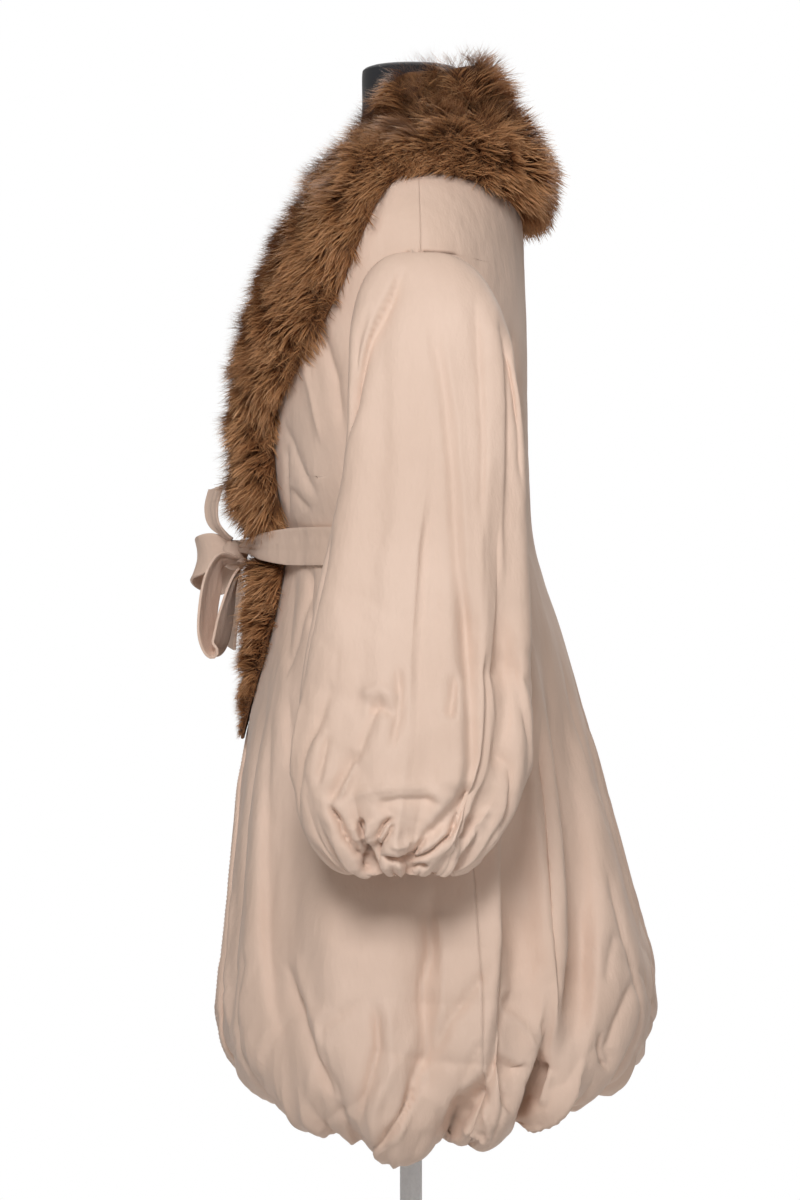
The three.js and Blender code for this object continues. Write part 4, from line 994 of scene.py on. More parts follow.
class NodeBench:
    """A short way to add and join the nodes of a material, a world or geometry nodes."""

    def __init__(self, tree: NodeTree) -> None:
        """Keeps the tree to build in."""
        self.tree = tree

    def set(self, node: Node, inputs: dict) -> None:
        """Fills a node's inputs.

        Args:
            node: The node.
            inputs: Sockets to link or plain values, by the inputs' names or places.
        """
        for key, value in inputs.items():
            if isinstance(value, bpy.types.NodeSocket):
                self.tree.links.new(value, node.inputs[key])
            else:
                node.inputs[key].default_value = value

    def add(self, kind: str, inputs: dict | None = None, **settings: object) -> Node:
        """Adds a node.

        Args:
            kind: Its Blender type.
            inputs: What its inputs are filled with.
            **settings: Its properties.

        Returns:
            The node.
        """
        node = self.tree.nodes.new(kind)
        for key, value in settings.items():
            setattr(node, key, value)
        self.set(node, inputs or {})
        return node

    def noise(self, vector: Socket, scale: float, detail: float, output: str = "Fac") -> Socket:
        """A noise texture read at a vector."""
        inputs = {"Vector": vector, "Scale": scale, "Detail": detail}
        return self.add("ShaderNodeTexNoise", inputs).outputs[output]

    def ramp(self, factor: Socket, *stops: tuple[float, tuple[float, ...]]) -> Socket:
        """The colour of a ramp with the given stops."""
        node = self.add("ShaderNodeValToRGB", {"Fac": factor})
        elements = node.color_ramp.elements
        while len(elements) < len(stops):
            elements.new(0.5)
        for element, (position, colour) in zip(elements, stops):
            element.position = position
            element.color = (*colour, 1.0)
        return node.outputs["Color"]

    def bump(self, height: Socket, strength: float, distance: float, **under: Socket) -> Socket:
        """The normal of a bump over a height, laid over another normal where one is given."""
        inputs = {"Strength": strength, "Distance": distance, "Height": height, **under}
        return self.add("ShaderNodeBump", inputs).outputs["Normal"]

    def multiplied(self, factor: object, first: Socket, second: object) -> Socket:
        """A colour multiplied by a second one, as far as the factor says."""
        inputs = {"Factor": factor, "A": first, "B": second}
        node = self.add("ShaderNodeMix", inputs, data_type="RGBA", blend_type="MULTIPLY")
        return node.outputs["Result"]

    def math(self, operation: str, first: Socket, second: object) -> Socket:
        """The result of a sum with two numbers."""
        return self.add("ShaderNodeMath", {0: first, 1: second}, operation=operation).outputs[0]

    def vector(self, operation: str, inputs: dict) -> Socket:
        """The result of a sum with vectors."""
        return self.add("ShaderNodeVectorMath", inputs, operation=operation).outputs[0]

    def attribute(self, name: str, kind: str) -> Socket:
        """A named attribute of the points."""
        node = self.add("GeometryNodeInputNamedAttribute", {"Name": name}, data_type=kind)
        return node.outputs["Attribute"]

    def random(self, kind: str, output: int, inputs: dict) -> Socket:
        """A random value for each point."""
        return self.add("FunctionNodeRandomValue", inputs, data_type=kind).outputs[output]

    def open_group(self, *names: str) -> tuple[Sequence[Socket], Node]:
        """Gives the group a geometry input, named number inputs and a geometry output.

        Args:
            *names: The numbers' names.

        Returns:
            The inputs as sockets to read, and the output node.
        """
        sockets = self.tree.interface
        sockets.new_socket("Geometry", in_out="INPUT", socket_type="NodeSocketGeometry")
        for name in names:
            sockets.new_socket(name, in_out="INPUT", socket_type="NodeSocketFloat")
        sockets.new_socket("Geometry", in_out="OUTPUT", socket_type="NodeSocketGeometry")
        return self.add("NodeGroupInput").outputs, self.add("NodeGroupOutput")

    def close_group(self, geometry: Socket, material: Material, result: Node) -> None:
        """Realizes the instances, sets their material and hands them to the output node."""
        realized = self.add("GeometryNodeRealizeInstances", {0: geometry}).outputs[0]
        dressed = self.add("GeometryNodeSetMaterial", {"Geometry": realized, "Material": material})
        self.set(result, {0: dressed.outputs[0]})


def run_nodes(source: Object, tree: NodeTree, values: dict[str, float], name: str) -> Object:
    """Runs geometry nodes on an object, which is removed.

    Args:
        source: The object.
        tree: The geometry nodes.
        values: The numbers for their named inputs.
        name: The new object's name.

    Returns:
        The new object.
    """
    modifier = source.modifiers.new("nodes", "NODES")
    modifier.node_group = tree
    for item in tree.interface.items_tree:
        if item.in_out == "INPUT" and item.name in values:
            modifier[item.identifier] = values[item.name]
    return evaluated_copy(source, name)


def linear(red: float, green: float, blue: float) -> Triple:
    """A linear colour from screen values of 0 to 255."""
    shares = (red / 255, green / 255, blue / 255)
    return tuple(c / 12.92 if c <= 0.04045 else ((c + 0.055) / 1.055) ** 2.4 for c in shares)


def blank_material(name: str) -> tuple[Material, NodeBench, Node, Socket]:
    """A new material, with its bench, its shader and its place in the object."""
    made = bpy.data.materials.new(name)
    made.use_nodes = True
    bench = NodeBench(made.node_tree)
    place = bench.add("ShaderNodeTexCoord").outputs["Object"]
    return made, bench, made.node_tree.nodes["Principled BSDF"], place


@dataclass(frozen=True)
class ClothFinish:
    """Closely woven cotton with a soft sheen."""

    name: str = "woven_cotton"
    light: Triple = linear(224, 198, 181)
    shade: Triple = linear(214, 187, 169)
    threads_per_metre: float = 1500.0
    roughness: float = 0.62
    sheen: float = 0.12

    def material(self) -> Material:
        """Builds the material."""
        made, bench, shader, place = blank_material(self.name)
        weave = bench.add(
            "ShaderNodeTexWave",
            {
                # At scale 1 a diagonal wave turns ten radians in a metre of either axis.
                "Scale": self.threads_per_metre * 2 * math.pi / 10.0,
                "Distortion": 0.6,
                "Vector": bench.add("ShaderNodeUVMap", uv_map="cloth").outputs["UV"],
            },
            wave_type="BANDS",
            bands_direction="DIAGONAL",
        )
        threads = bench.bump(weave.outputs["Fac"], 0.2, 0.0001)
        stretch = bench.add("ShaderNodeMapping", {"Scale": (1.0, 1.0, 0.45), "Vector": place})
        crumple = bench.noise(stretch.outputs["Vector"], 26.0, 6.0)
        tone = bench.noise(place, 7.0, 4.0)
        looks = {
            "Base Color": bench.ramp(tone, (0.3, self.shade), (0.7, self.light)),
            "Normal": bench.bump(crumple, 0.5, 0.01, Normal=threads),
            "Roughness": self.roughness,
            "Specular IOR Level": 0.3,
            "Sheen Weight": self.sheen,
            "Sheen Roughness": 0.45,
        }
        bench.set(shader, looks)
        return made


@dataclass(frozen=True)
class FurFinish:
    """Brown fur, dark at the root and ginger at the tip."""

    name: str = "fur_pile"
    root: Triple = linear(92, 61, 40)
    middle: Triple = linear(192, 146, 104)
    tip: Triple = linear(210, 168, 128)
    dark: Triple = linear(160, 113, 73)

    def material(self) -> Material:
        """Builds the material of the hairs."""
        made, bench, shader, place = blank_material(self.name)
        along = bench.add("ShaderNodeAttribute", attribute_name="along").outputs["Fac"]
        strand = bench.ramp(along, (0.0, self.root), (0.35, self.dark), (0.7, self.middle), (1.0, self.tip))
        blotches = bench.noise(place, 24.0, 3.0)
        patches = bench.ramp(blotches, (0.38, (0.0, 0.0, 0.0)), (0.66, (1.0, 1.0, 1.0)))
        patched = bench.multiplied(patches, strand, (0.78, 0.7, 0.64, 1.0))
        shade = bench.add("ShaderNodeAttribute", attribute_name="strand_shade").outputs["Fac"]
        own = bench.ramp(shade, (0.0, (0.86, 0.83, 0.8)), (1.0, (1.16, 1.14, 1.12)))
        colour = bench.multiplied(1.0, patched, own)
        bench.set(shader, {"Base Color": colour, "Roughness": 0.5, "Specular IOR Level": 0.35})
        return made

    def skin_material(self) -> Material:
        """Builds the material of the skin under the hairs."""
        made, bench, shader, place = blank_material(self.name + "_skin")
        tone = bench.noise(place, 120.0, 4.0)
        colour = bench.ramp(tone, (0.35, self.root), (0.75, self.dark))
        bench.set(shader, {"Base Color": colour, "Normal": bench.bump(tone, 0.8, 0.004), "Roughness": 0.9})
        return made


@dataclass(frozen=True)
class JerseyFinish:
    """Black jersey, drawn tight over the form."""

    name: str = "black_jersey"
    colour: Triple = linear(30, 32, 37)

    def material(self) -> Material:
        """Builds the material."""
        made, bench, shader, place = blank_material(self.name)
        lighter = tuple(c * 1.5 for c in self.colour)
        looks = {
            "Base Color": bench.ramp(bench.noise(place, 60.0, 3.0), (0.3, self.colour), (0.8, lighter)),
            "Normal": bench.bump(bench.noise(place, 1400.0, 2.0), 0.2, 0.0004),
            "Roughness": 0.78,
            "Sheen Weight": 0.15,
        }
        bench.set(shader, looks)
        return made


@dataclass(frozen=True)
class LacquerFinish:
    """White lacquer on steel."""

    name: str = "white_lacquer"
    colour: Triple = linear(240, 240, 241)

    def material(self) -> Material:
        """Builds the material."""
        made, bench, shader, place = blank_material(self.name)
        peel = bench.noise(place, 300.0, 2.0)
        worn = tuple(c * 0.92 for c in self.colour)
        looks = {
            "Base Color": bench.ramp(peel, (0.2, worn), (0.6, self.colour)),
            "Normal": bench.bump(peel, 0.08, 0.0005),
            "Roughness": 0.3,
            "Coat Weight": 0.4,
        }
        bench.set(shader, looks)
        return made


def dress(made: Object, material: Material) -> None:
    """Gives an object one material."""
    made.data.materials.clear()
    made.data.materials.append(material)


def finish_piece(made: Object, material: Material, slot: str, *nodes: str) -> None:
    """Dresses a piece, and ties it to the frame.

    Args:
        made: The piece.
        material: Its material.
        slot: The record's material slot; not used.
        *nodes: The solids that it stands for.
    """
    dress(made, material)
    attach(made, BODY_NAME)
    if nodes:
        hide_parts(*nodes)
    LOG.info("%s: %d faces", made.name, len(made.data.polygons))


@dataclass(frozen=True)
class Stitching:
    """Rows of small stitches along lines on the cloth."""

    name: str
    finish: Material
    pitch: float = 4.4
    stitch_length: float = 3.1
    thread: float = 0.55

    def stitch(self) -> Object:
        """One stitch along X: a bead with eight faces, whose two ends are lower than its middle."""
        half, side = self.stitch_length * MM / 2, self.thread * MM / 2
        turns = np.linspace(0, 2 * math.pi, 5)[:-1]
        middle = [(0.0, side * math.cos(a), side * math.sin(a)) for a in turns]
        points = [(-half, 0.0, -side), *middle, (half, 0.0, -side)]
        corners = [(1 + k, 1 + (k + 1) % 4) for k in range(4)]
        faces = [(0, b, a) for a, b in corners] + [(5, a, b) for a, b in corners]
        mesh = bpy.data.meshes.new("stitch")
        mesh.from_pydata(points, [], faces)
        return link_object("stitch", mesh)

    def tree(self, bead: Object) -> NodeTree:
        """The geometry nodes that set a stitch at each step along the lines."""
        tree = bpy.data.node_groups.new("stitch_rows", "GeometryNodeTree")
        bench = NodeBench(tree)
        given, result = bench.open_group("Pitch")
        line = bench.add("GeometryNodeMeshToCurve", {"Mesh": given["Geometry"]}).outputs["Curve"]
        steps = bench.add(
            "GeometryNodeCurveToPoints", {"Curve": line, "Length": given["Pitch"]}, mode="LENGTH"
        ).outputs
        aim = bench.add("FunctionNodeAlignEulerToVector", {"Vector": steps["Tangent"]}, axis="X")
        info = bench.add("GeometryNodeObjectInfo", {"Object": bead})
        placing = {
            "Points": steps["Points"],
            "Instance": info.outputs["Geometry"],
            "Rotation": aim.outputs[0],
        }
        placed = bench.add("GeometryNodeInstanceOnPoints", placing).outputs[0]
        bench.close_group(placed, self.finish, result)
        return tree

    def build(self, lines: Sequence[Array]) -> None:
        """Makes the stitches as one mesh.

        Args:
            lines: Rows of points in millimetres, one for each seam.
        """
        points = np.concatenate(lines) * MM
        starts = np.cumsum([0] + [len(line) for line in lines])
        edges = [(k, k + 1) for a, b in zip(starts[:-1], starts[1:]) for k in range(a, b - 1)]
        mesh = bpy.data.meshes.new("seams")
        mesh.from_pydata(points.tolist(), edges, [])
        bead = self.stitch()
        values = {"Pitch": self.pitch * MM}
        made = run_nodes(link_object("seams", mesh), self.tree(bead), values, self.name)
        bpy.data.objects.remove(bead)
        finish_piece(made, self.finish, CLOTH_SLOT)


# How many rows of a panel lie along its shoulder and its armhole.
SHOULDER_ROWS = 54
ARMHOLE_ROWS = 61
# The rows of a panel between which its stitches run.
ARMHOLE_SEAM = (SHOULDER_ROWS, SHOULDER_ROWS + ARMHOLE_ROWS - 2)
LEFT_EDGE_SEAM = (30, 300)
RIGHT_EDGE_SEAM = (30, 330)
# The stitched columns, counted from a panel's first edge and from its last one.
FIRST_STITCHED = 4
LAST_STITCHED = -5


@dataclass
class Panel:
    """One cut panel of the coat's body, between two edges given in degrees from the centre front."""

    name: str
    node: str
    start: Callable[[Array], Array]
    end: Callable[[Array], Array]
    columns: int
    flat: tuple[float, float]
    area: float
    end_roll: float = SEAM_ROLL
    tucked: bool = False
    stitched: tuple[tuple[int, int, int], ...] = ()

    def stitch_lines(self, points: Array) -> list[Array]:
        """The lines of the panel's stitches: each a column between two rows."""
        normals = grid_normals(points[:, 1:-1], closed=False)
        lines = []
        for column, first, last in self.stitched:
            inner = column - (1 if column > 0 else -1)
            lines.append(points[first:last, column] + normals[first:last, inner] * STITCH_LIFT)
        return lines

    def levels(self) -> Array:
        """The levels of the panel's rows, closer together where the armhole starts and ends."""
        middle = (ARMHOLE_TOP_LEVEL + UNDERARM_LEVEL) / 2
        armhole = middle - np.cos(np.linspace(0, np.pi, ARMHOLE_ROWS))
        shoulder = np.linspace(NECKLINE_LEVEL, ARMHOLE_TOP_LEVEL, SHOULDER_ROWS)[:-1]
        waist = np.linspace(UNDERARM_LEVEL, HIP_LEVEL, 96)[1:]
        hem = np.linspace(HIP_LEVEL, TURN_LEVEL, 106)[1:]
        turned = np.linspace(TURN_LEVEL, HEM_LEVEL, 18)[1:]
        return np.concatenate([shoulder, armhole, waist, hem, turned])

    def surface(self) -> Array:
        """The panel's points, with its creases."""
        levels = self.levels()[:, None]
        share = np.linspace(0.0, 1.0, self.columns)[None, :]
        start, end = self.start(levels), self.end(levels)
        angles = start + (end - start) * share
        points = coat_point(angles, np.broadcast_to(levels, angles.shape))
        normals = grid_normals(points, closed=False)
        relief = crease_relief(BODY_CREASES, points, normals, (0.0, 0.0))
        relief += soft_ripple(points, BODY_SEED, 0.8)
        busy = 0.3 + 1.2 * smoothstep(*CRUMPLES_GROW, levels) * (1 - smoothstep(*CRUMPLES_FADE, levels))
        relief += crumple(points, BODY_SEED, 2.1) * busy
        relief += HEM_PLEATS.relief(angles, levels)
        if self.tucked:
            under = smoothstep(OVERLAP_FROM - 0.3, OVERLAP_FROM + 0.1, levels)
            near = 1 - smoothstep(OVERLAP_ANGLE + 2, OVERLAP_ANGLE + 12, angles)
            relief -= UNDERLAP_DEPTH * under * near
        points = points + normals * relief[..., None]
        first = points[:, :1] - normals[:, :1] * SEAM_ROLL
        last = points[:, -1:] - normals[:, -1:] * self.end_roll
        points[:, :1] -= normals[:, :1] * SEAM_ROLL * EDGE_DIP
        points[:, -1:] -= normals[:, -1:] * self.end_roll * EDGE_DIP
        return np.concatenate([first, points, last], axis=1)

    def build(self, material: Material) -> None:
        """Makes the panel as a sheet of cloth."""
        points = self.surface()
        made = link_object(self.name, grid_mesh(self.name, points, closed=False))
        finish_piece(made, material, CLOTH_SLOT, self.node)
        Stitching(f"{self.name}_stitches", material).build(self.stitch_lines(points))


def front_edge_angle(level: Array, overlap: float) -> Array:
    """The angle of a front's edge at each level."""
    lap = smoothstep(OVERLAP_FROM, OVERLAP_FULL, level) * overlap
    return np.interp(level, FRONT_EDGE_LEVELS, FRONT_EDGE_ANGLES) - lap


def back_edge_angle(level: Array) -> Array:
    """The angle of the back's edge at the shoulder seam, the armhole and the side seam."""
    return seam_angle(level) + armhole_share(level) * ARMHOLE_BACK_ANGLE


def side_edge_angle(level: Array) -> Array:
    """The angle of a front's edge at the shoulder seam, the armhole and the side seam."""
    return seam_angle(level) - armhole_share(level) * ARMHOLE_FRONT_ANGLE


@dataclass
class CoatBody:
    """The back and the two fronts."""

    material: Material
    panels: list[Panel] = field(
        default_factory=lambda: [
            Panel(
                name="coat_back",
                node="back",
                start=back_edge_angle,
                end=lambda level: 360.0 - back_edge_angle(level),
                columns=241,
                flat=(0.86, 1.15),
                area=0.64,
                stitched=((FIRST_STITCHED, *ARMHOLE_SEAM), (LAST_STITCHED, *ARMHOLE_SEAM)),
            ),
            Panel(
                name="coat_front_left",
                node="front_left",
                start=lambda level: front_edge_angle(level, 0.0),
                end=side_edge_angle,
                columns=135,
                flat=(0.46, 1.13),
                area=0.34,
                stitched=((LAST_STITCHED, *ARMHOLE_SEAM), (FIRST_STITCHED, *LEFT_EDGE_SEAM)),
                tucked=True,
            ),
            Panel(
                name="coat_front_right",
                node="front_right",
                start=lambda level: 360.0 - side_edge_angle(level),
                end=lambda level: 360.0 - front_edge_angle(level, OVERLAP_ANGLE),
                columns=145,
                flat=(0.49, 1.13),
                area=0.36,
                stitched=((FIRST_STITCHED, *ARMHOLE_SEAM), (LAST_STITCHED, *RIGHT_EDGE_SEAM)),
                end_roll=EDGE_ROLL,
            ),
        ]
    )

    def build(self) -> None:
        """Makes the three panels."""
        for panel in self.panels:
            panel.build(self.material)


@dataclass(frozen=True)
class SleeveVariation:
    """What makes the folds of the two sleeves differ."""

    shift: tuple[float, float]
    ripple_seed: int
    crumple_seed: int
    pleat_turn: float


SLEEVE_VARIATIONS = {
    "left": SleeveVariation((0.0, 0.0), 21, 63, 0.0),
    "right": SleeveVariation((6.0, -9.0), 34, 77, 17.0),
}
# Runs of a sleeve's rows: the first level, the last one and how many rows.
SLEEVE_SPANS = ((0.0, 6.0, 84), (6.0, 9.0, 52), (9.0, 12.2, 104), (12.2, SLEEVE_END_LEVEL, 16))


@dataclass
class Sleeve:
    """A balloon sleeve and the band that holds its gathers."""

    side: str
    material: Material
    columns: int = 212
    cuff_radius_x: float = 22.5
    cuff_radius_y: float = 29.1
    cuff_low: float = 722.0
    cuff_height: float = 34.0
    cuff_wall: float = 2.5
    crowding: float = 18.0

    def surface(self) -> Array:
        """The sleeve's points, with its creases."""
        runs = (np.linspace(a, b, n, endpoint=False) for a, b, n in SLEEVE_SPANS)
        levels = np.concatenate([[0.0], *runs, [SLEEVE_END_LEVEL]])[:, None]
        even = np.arange(self.columns)[None, :] * (360.0 / self.columns)
        turns = even - self.crowding * np.sin(np.radians(even))
        points = sleeve_point(turns, levels)
        normals = grid_normals(points, closed=True)
        own = SLEEVE_VARIATIONS[self.side]
        busy = 0.25 + 1.2 * smoothstep(4.5, 8.0, levels)
        relief = crease_relief(SLEEVE_CREASES, points, normals, own.shift)
        relief += soft_ripple(points, own.ripple_seed, 0.9)
        relief += crumple(points, own.crumple_seed, 1.6) * busy
        relief += CUFF_PLEATS.relief(turns + own.pleat_turn, levels)
        relief *= smoothstep(0.05, 0.6, levels)
        points = points + normals * relief[..., None]
        points[0] = armhole_point(turns[0], np.full(self.columns, -SEAM_ALLOWANCE))
        return points

    def build(self) -> None:
        """Makes the sleeve and its band."""
        name = f"coat_sleeve_{self.side}"
        sleeve = link_object(name, grid_mesh(name, self.surface(), closed=True))
        band_name = f"coat_cuff_{self.side}"
        turns = np.linspace(0, 2 * np.pi, 72, endpoint=False)[None, :]
        wall = np.array([0, 0, 0, 1, 1, 1, 0])[:, None] * self.cuff_wall
        heights = np.array([0.5, 1, 1, 1, 0, 0, 0.5])[:, None] * self.cuff_height
        last = SLEEVE_RINGS[-1]
        x = (last.x_outer + last.x_inner) / 2 + (self.cuff_radius_x - self.cuff_wall + wall) * np.cos(turns)
        y = (last.y_front + last.y_back) / 2 + (self.cuff_radius_y - self.cuff_wall + wall) * np.sin(turns)
        z = np.broadcast_to(self.cuff_low + heights, x.shape)
        profile = np.stack([x, y, z], -1)[::-1]
        band = link_object(band_name, grid_mesh(band_name, profile, closed=True))
        if self.side == "right":
            mirror_object(sleeve)
            mirror_object(band)
        finish_piece(sleeve, self.material, CLOTH_SLOT, f"sleeve_{self.side}")
        finish_piece(band, self.material, CLOTH_SLOT, f"cuff_{self.side}")


@dataclass
class FurCollar:
    """One half of the shawl collar: a pelt with its hairs."""

    side: str
    seed: int
    pelt_share: float = 0.52
    stations: int = 150
    across: int = 26
    pelt_length: float = 58.0
    hair_length: float = 28.5
    hair_width: float = 1.25
    density: float = 372000.0
    clumping: float = 2.5
    parting_width: float = 0.12
    parting_depth: float = 0.22
    spread_centre: float = 0.42
    root_lift: float = 0.62
    least_reach: float = 0.3
    belt_depth: float = 9.0
    shortest_under_belt: float = 0.31
    longest_under_belt: float = 0.6

    def place(self, station: Array, across: Array) -> tuple[Array, Array]:
        """The angle and the level at places along and across the collar."""
        return tuple(
            COLLAR.at(f"inner_{key}", station) * (1 - across) + COLLAR.at(f"outer_{key}", station) * across
            for key in ("angle", "level")
        )

    def fur_surface(self, station: Array, across: Array, top: Array, share: float) -> tuple[Array, Array]:
        """Points of the fur at a share of its height, and how high the fur is there.

        Args:
            station: Fractional stations along the collar.
            across: Shares of the way across it.
            top: 1 on the outer surface and 0 on the underside.
            share: The share of the fur's full height.

        Returns:
            The points, and the fur's full height over each.
        """
        lean = COLLAR.at("lean", station)
        angle, level = self.place(station, across)
        skewed = across ** (np.log(0.5) / np.log(lean))
        swell = np.maximum(4 * skewed * (1 - skewed), 0) ** FUR_ROUNDING
        height = COLLAR.at("fur", station) * swell
        lift = FUR_SEAT + top * height * share
        return coat_point(angle, level) + coat_normal(angle, level) * lift[..., None], height

    def pelt(self) -> Object:
        """The pelt, with the hairs' directions and lengths as attributes."""
        over = 0.5 - 0.5 * np.cos(np.linspace(0, np.pi, self.across))
        under = over[::-1][1:-1]
        station, across, top = np.broadcast_arrays(
            np.linspace(0, COLLAR.last, self.stations)[:, None],
            np.concatenate([over, under]),
            np.concatenate([np.ones(len(over)), np.zeros(len(under))]),
        )
        points, height = self.fur_surface(station, across, top, self.pelt_share)
        normals = coat_normal(*self.place(station, across))
        lengths = np.linalg.norm(np.diff(points[:, :1], axis=0), axis=-1)
        run = np.concatenate([[[0.0]], np.cumsum(lengths, axis=0)])
        sway = 0.35 * np.sin(run / 61.0)
        phase = run / self.pelt_length + sway + 0.55 * (across - 0.5) * np.sin(run / 95.0 + 1.0)
        parting = np.exp(-((np.abs(np.mod(phase, 1.0) - 0.5) - 0.5) / self.parting_width) ** 2)
        points -= normals * (parting * height * top * self.parting_depth)[..., None]
        points[..., 0] = np.maximum(points[..., 0], CENTRE_GAP)
        outer_edge, inner_edge = (
            self.fur_surface(station, np.full_like(across, edge), np.zeros_like(top), 0.0)[0]
            for edge in (1.0, 0.0)
        )
        sideways = unit(outer_edge - inner_edge)
        along = unit(np.gradient(points, axis=0))
        spread = ((across - self.spread_centre) * (1.7 + 1.6 * smoothstep(0.7, 1.0, across)))[..., None]
        lie = (0.6 + 0.45 * np.sin(2 * math.pi * phase))[..., None]
        flow = unit(normals * self.root_lift + sideways * spread + along * lie)
        reach = top * (0.75 + 0.25 * np.minimum(height / 30.0, 1.0)) * self.length_share(station, across)
        name = f"fur_pelt_{self.side}"
        made = link_object(name, grid_mesh(name, points[:, ::-1], closed=True, capped=True))
        if self.side == "right":
            mirror_object(made)
            flow = flow * np.array([-1.0, 1.0, 1.0])
        store_on_points(made.data, "flow", "FLOAT_VECTOR", flow[:, ::-1])
        store_on_points(made.data, "reach", "FLOAT", reach[:, ::-1])
        return made

    def length_share(self, station: Array, across: Array) -> Array:
        """The hairs' length as a share of its full value, shorter where the belt presses on them."""
        angle, _ = self.place(station, across)
        level = COLLAR.at("inner_level", station)
        belt_half = SASH_LEVELS / 2 * np.interp(angle, SASH_ANGLES[::-1], SASH_SHARES[::-1])
        belt_room = np.interp(angle, SASH_ANGLES[::-1], SASH_LIFTS[::-1])
        under_belt = (belt_room - self.belt_depth) / self.hair_length
        under_belt = np.clip(under_belt, self.shortest_under_belt, self.longest_under_belt)
        pressed = np.where(level < WAIST_LEVEL, PRESSED_ABOVE, PRESSED_BELOW)
        free = smoothstep(0.9, pressed, np.abs(level - WAIST_LEVEL) / belt_half)
        free = np.where(station > BELT_STATION, under_belt + (1 - under_belt) * free, 1.0)
        full = np.interp(station, FUR_LENGTH_STATIONS, FUR_LENGTH_SHARES)
        return free * np.where(full > 1, 1 + (full - 1) * free, full)

    def hair(self, bend: float) -> Object:
        """One flat tapered hair along +Z, a unit long, that bends sideways."""
        half = self.hair_width / self.hair_length
        points = [
            (side * half * width, bend * height * height, height)
            for height, width in ((0.0, 0.5), (0.52, 0.42))
            for side in (-1.0, 1.0)
        ]
        points.append((0.0, bend, 1.0))
        mesh = bpy.data.meshes.new("hair")
        mesh.from_pydata(points, [], [(0, 1, 3, 2), (2, 3, 4)])
        store_on_points(mesh, "along", "FLOAT", np.array(points)[:, 2])
        mesh.polygons.foreach_set("use_smooth", [True, True])
        return link_object("hair", mesh)

    def pile_tree(self, hairs: Sequence[Object], material: Material) -> NodeTree:
        """The geometry nodes that plant the hairs.

        Args:
            hairs: The hairs to choose from.
            material: The hairs' material.

        Returns:
            The node tree.
        """
        tree = bpy.data.node_groups.new("fur_pile", "GeometryNodeTree")
        bench = NodeBench(tree)
        given, result = bench.open_group("Density", "Length", "Clumping", "Seed")
        reach = bench.attribute("reach", "FLOAT")
        grows = bench.math("GREATER_THAN", reach, self.least_reach)
        planting = {
            "Mesh": given["Geometry"],
            "Density": bench.math("MULTIPLY", given["Density"], grows),
            "Seed": given["Seed"],
        }
        plant = bench.add("GeometryNodeDistributePointsOnFaces", planting, distribute_method="RANDOM")
        position = bench.add("GeometryNodeInputPosition").outputs[0]
        tuft, wisp = (
            bench.vector("SUBTRACT", {0: bench.noise(position, scale, 1.0, "Color"), 1: (0.5, 0.5, 0.5)})
            for scale in (26.0, 150.0)
        )
        tuft_push = bench.vector("SCALE", {0: tuft, "Scale": given["Clumping"]})
        wisp_push = bench.vector("SCALE", {0: wisp, "Scale": 1.1})
        stray = bench.random("FLOAT_VECTOR", 0, {0: (-0.22, -0.22, -0.22), 1: (0.22, 0.22, 0.22)})
        way = bench.attribute("flow", "FLOAT_VECTOR")
        for push in (tuft_push, stray, wisp_push):
            way = bench.vector("ADD", {0: way, 1: push})
        aim = bench.add("FunctionNodeAlignEulerToVector", {"Vector": way}, axis="Z")
        pool = bench.add("GeometryNodeGeometryToInstance")
        for hair in hairs:
            info = bench.add("GeometryNodeObjectInfo", {"Object": hair})
            bench.set(pool, {0: info.outputs["Geometry"]})
        size = bench.random("FLOAT", 1, {2: 0.6, 3: 1.15})
        length = bench.math("MULTIPLY", bench.math("MULTIPLY", size, given["Length"]), reach)
        placing = {
            "Pick Instance": True,
            "Points": plant.outputs["Points"],
            "Instance": pool.outputs[0],
            "Rotation": aim.outputs[0],
            "Scale": length,
        }
        placed = bench.add("GeometryNodeInstanceOnPoints", placing).outputs[0]
        shade = bench.random("FLOAT", 1, {"Seed": 5})
        shading = {"Name": "strand_shade", "Geometry": placed, "Value": shade}
        shaded = bench.add("GeometryNodeStoreNamedAttribute", shading, data_type="FLOAT", domain="INSTANCE")
        bench.close_group(shaded.outputs[0], material, result)
        return tree

    def pile(self, pelt: Object, hair_material: Material) -> Object:
        """The hairs over the pelt, as one mesh."""
        hairs = [self.hair(bend) for bend in (-0.28, 0.05, 0.34)]
        values = {
            "Density": self.density,
            "Length": self.hair_length * MM,
            "Clumping": self.clumping,
            "Seed": float(self.seed),
        }
        carrier = link_object("carrier", pelt.data.copy())
        made = run_nodes(carrier, self.pile_tree(hairs, hair_material), values, f"fur_pile_{self.side}")
        for hair in hairs:
            bpy.data.objects.remove(hair)
        return made

    def build(self, hair_material: Material, skin_material: Material) -> None:
        """Makes the pelt and its hairs."""
        pelt = self.pelt()
        pile = self.pile(pelt, hair_material)
        finish_piece(pelt, skin_material, FUR_SLOT, f"fur_collar_{self.side}")
        finish_piece(pile, hair_material, FUR_SLOT)


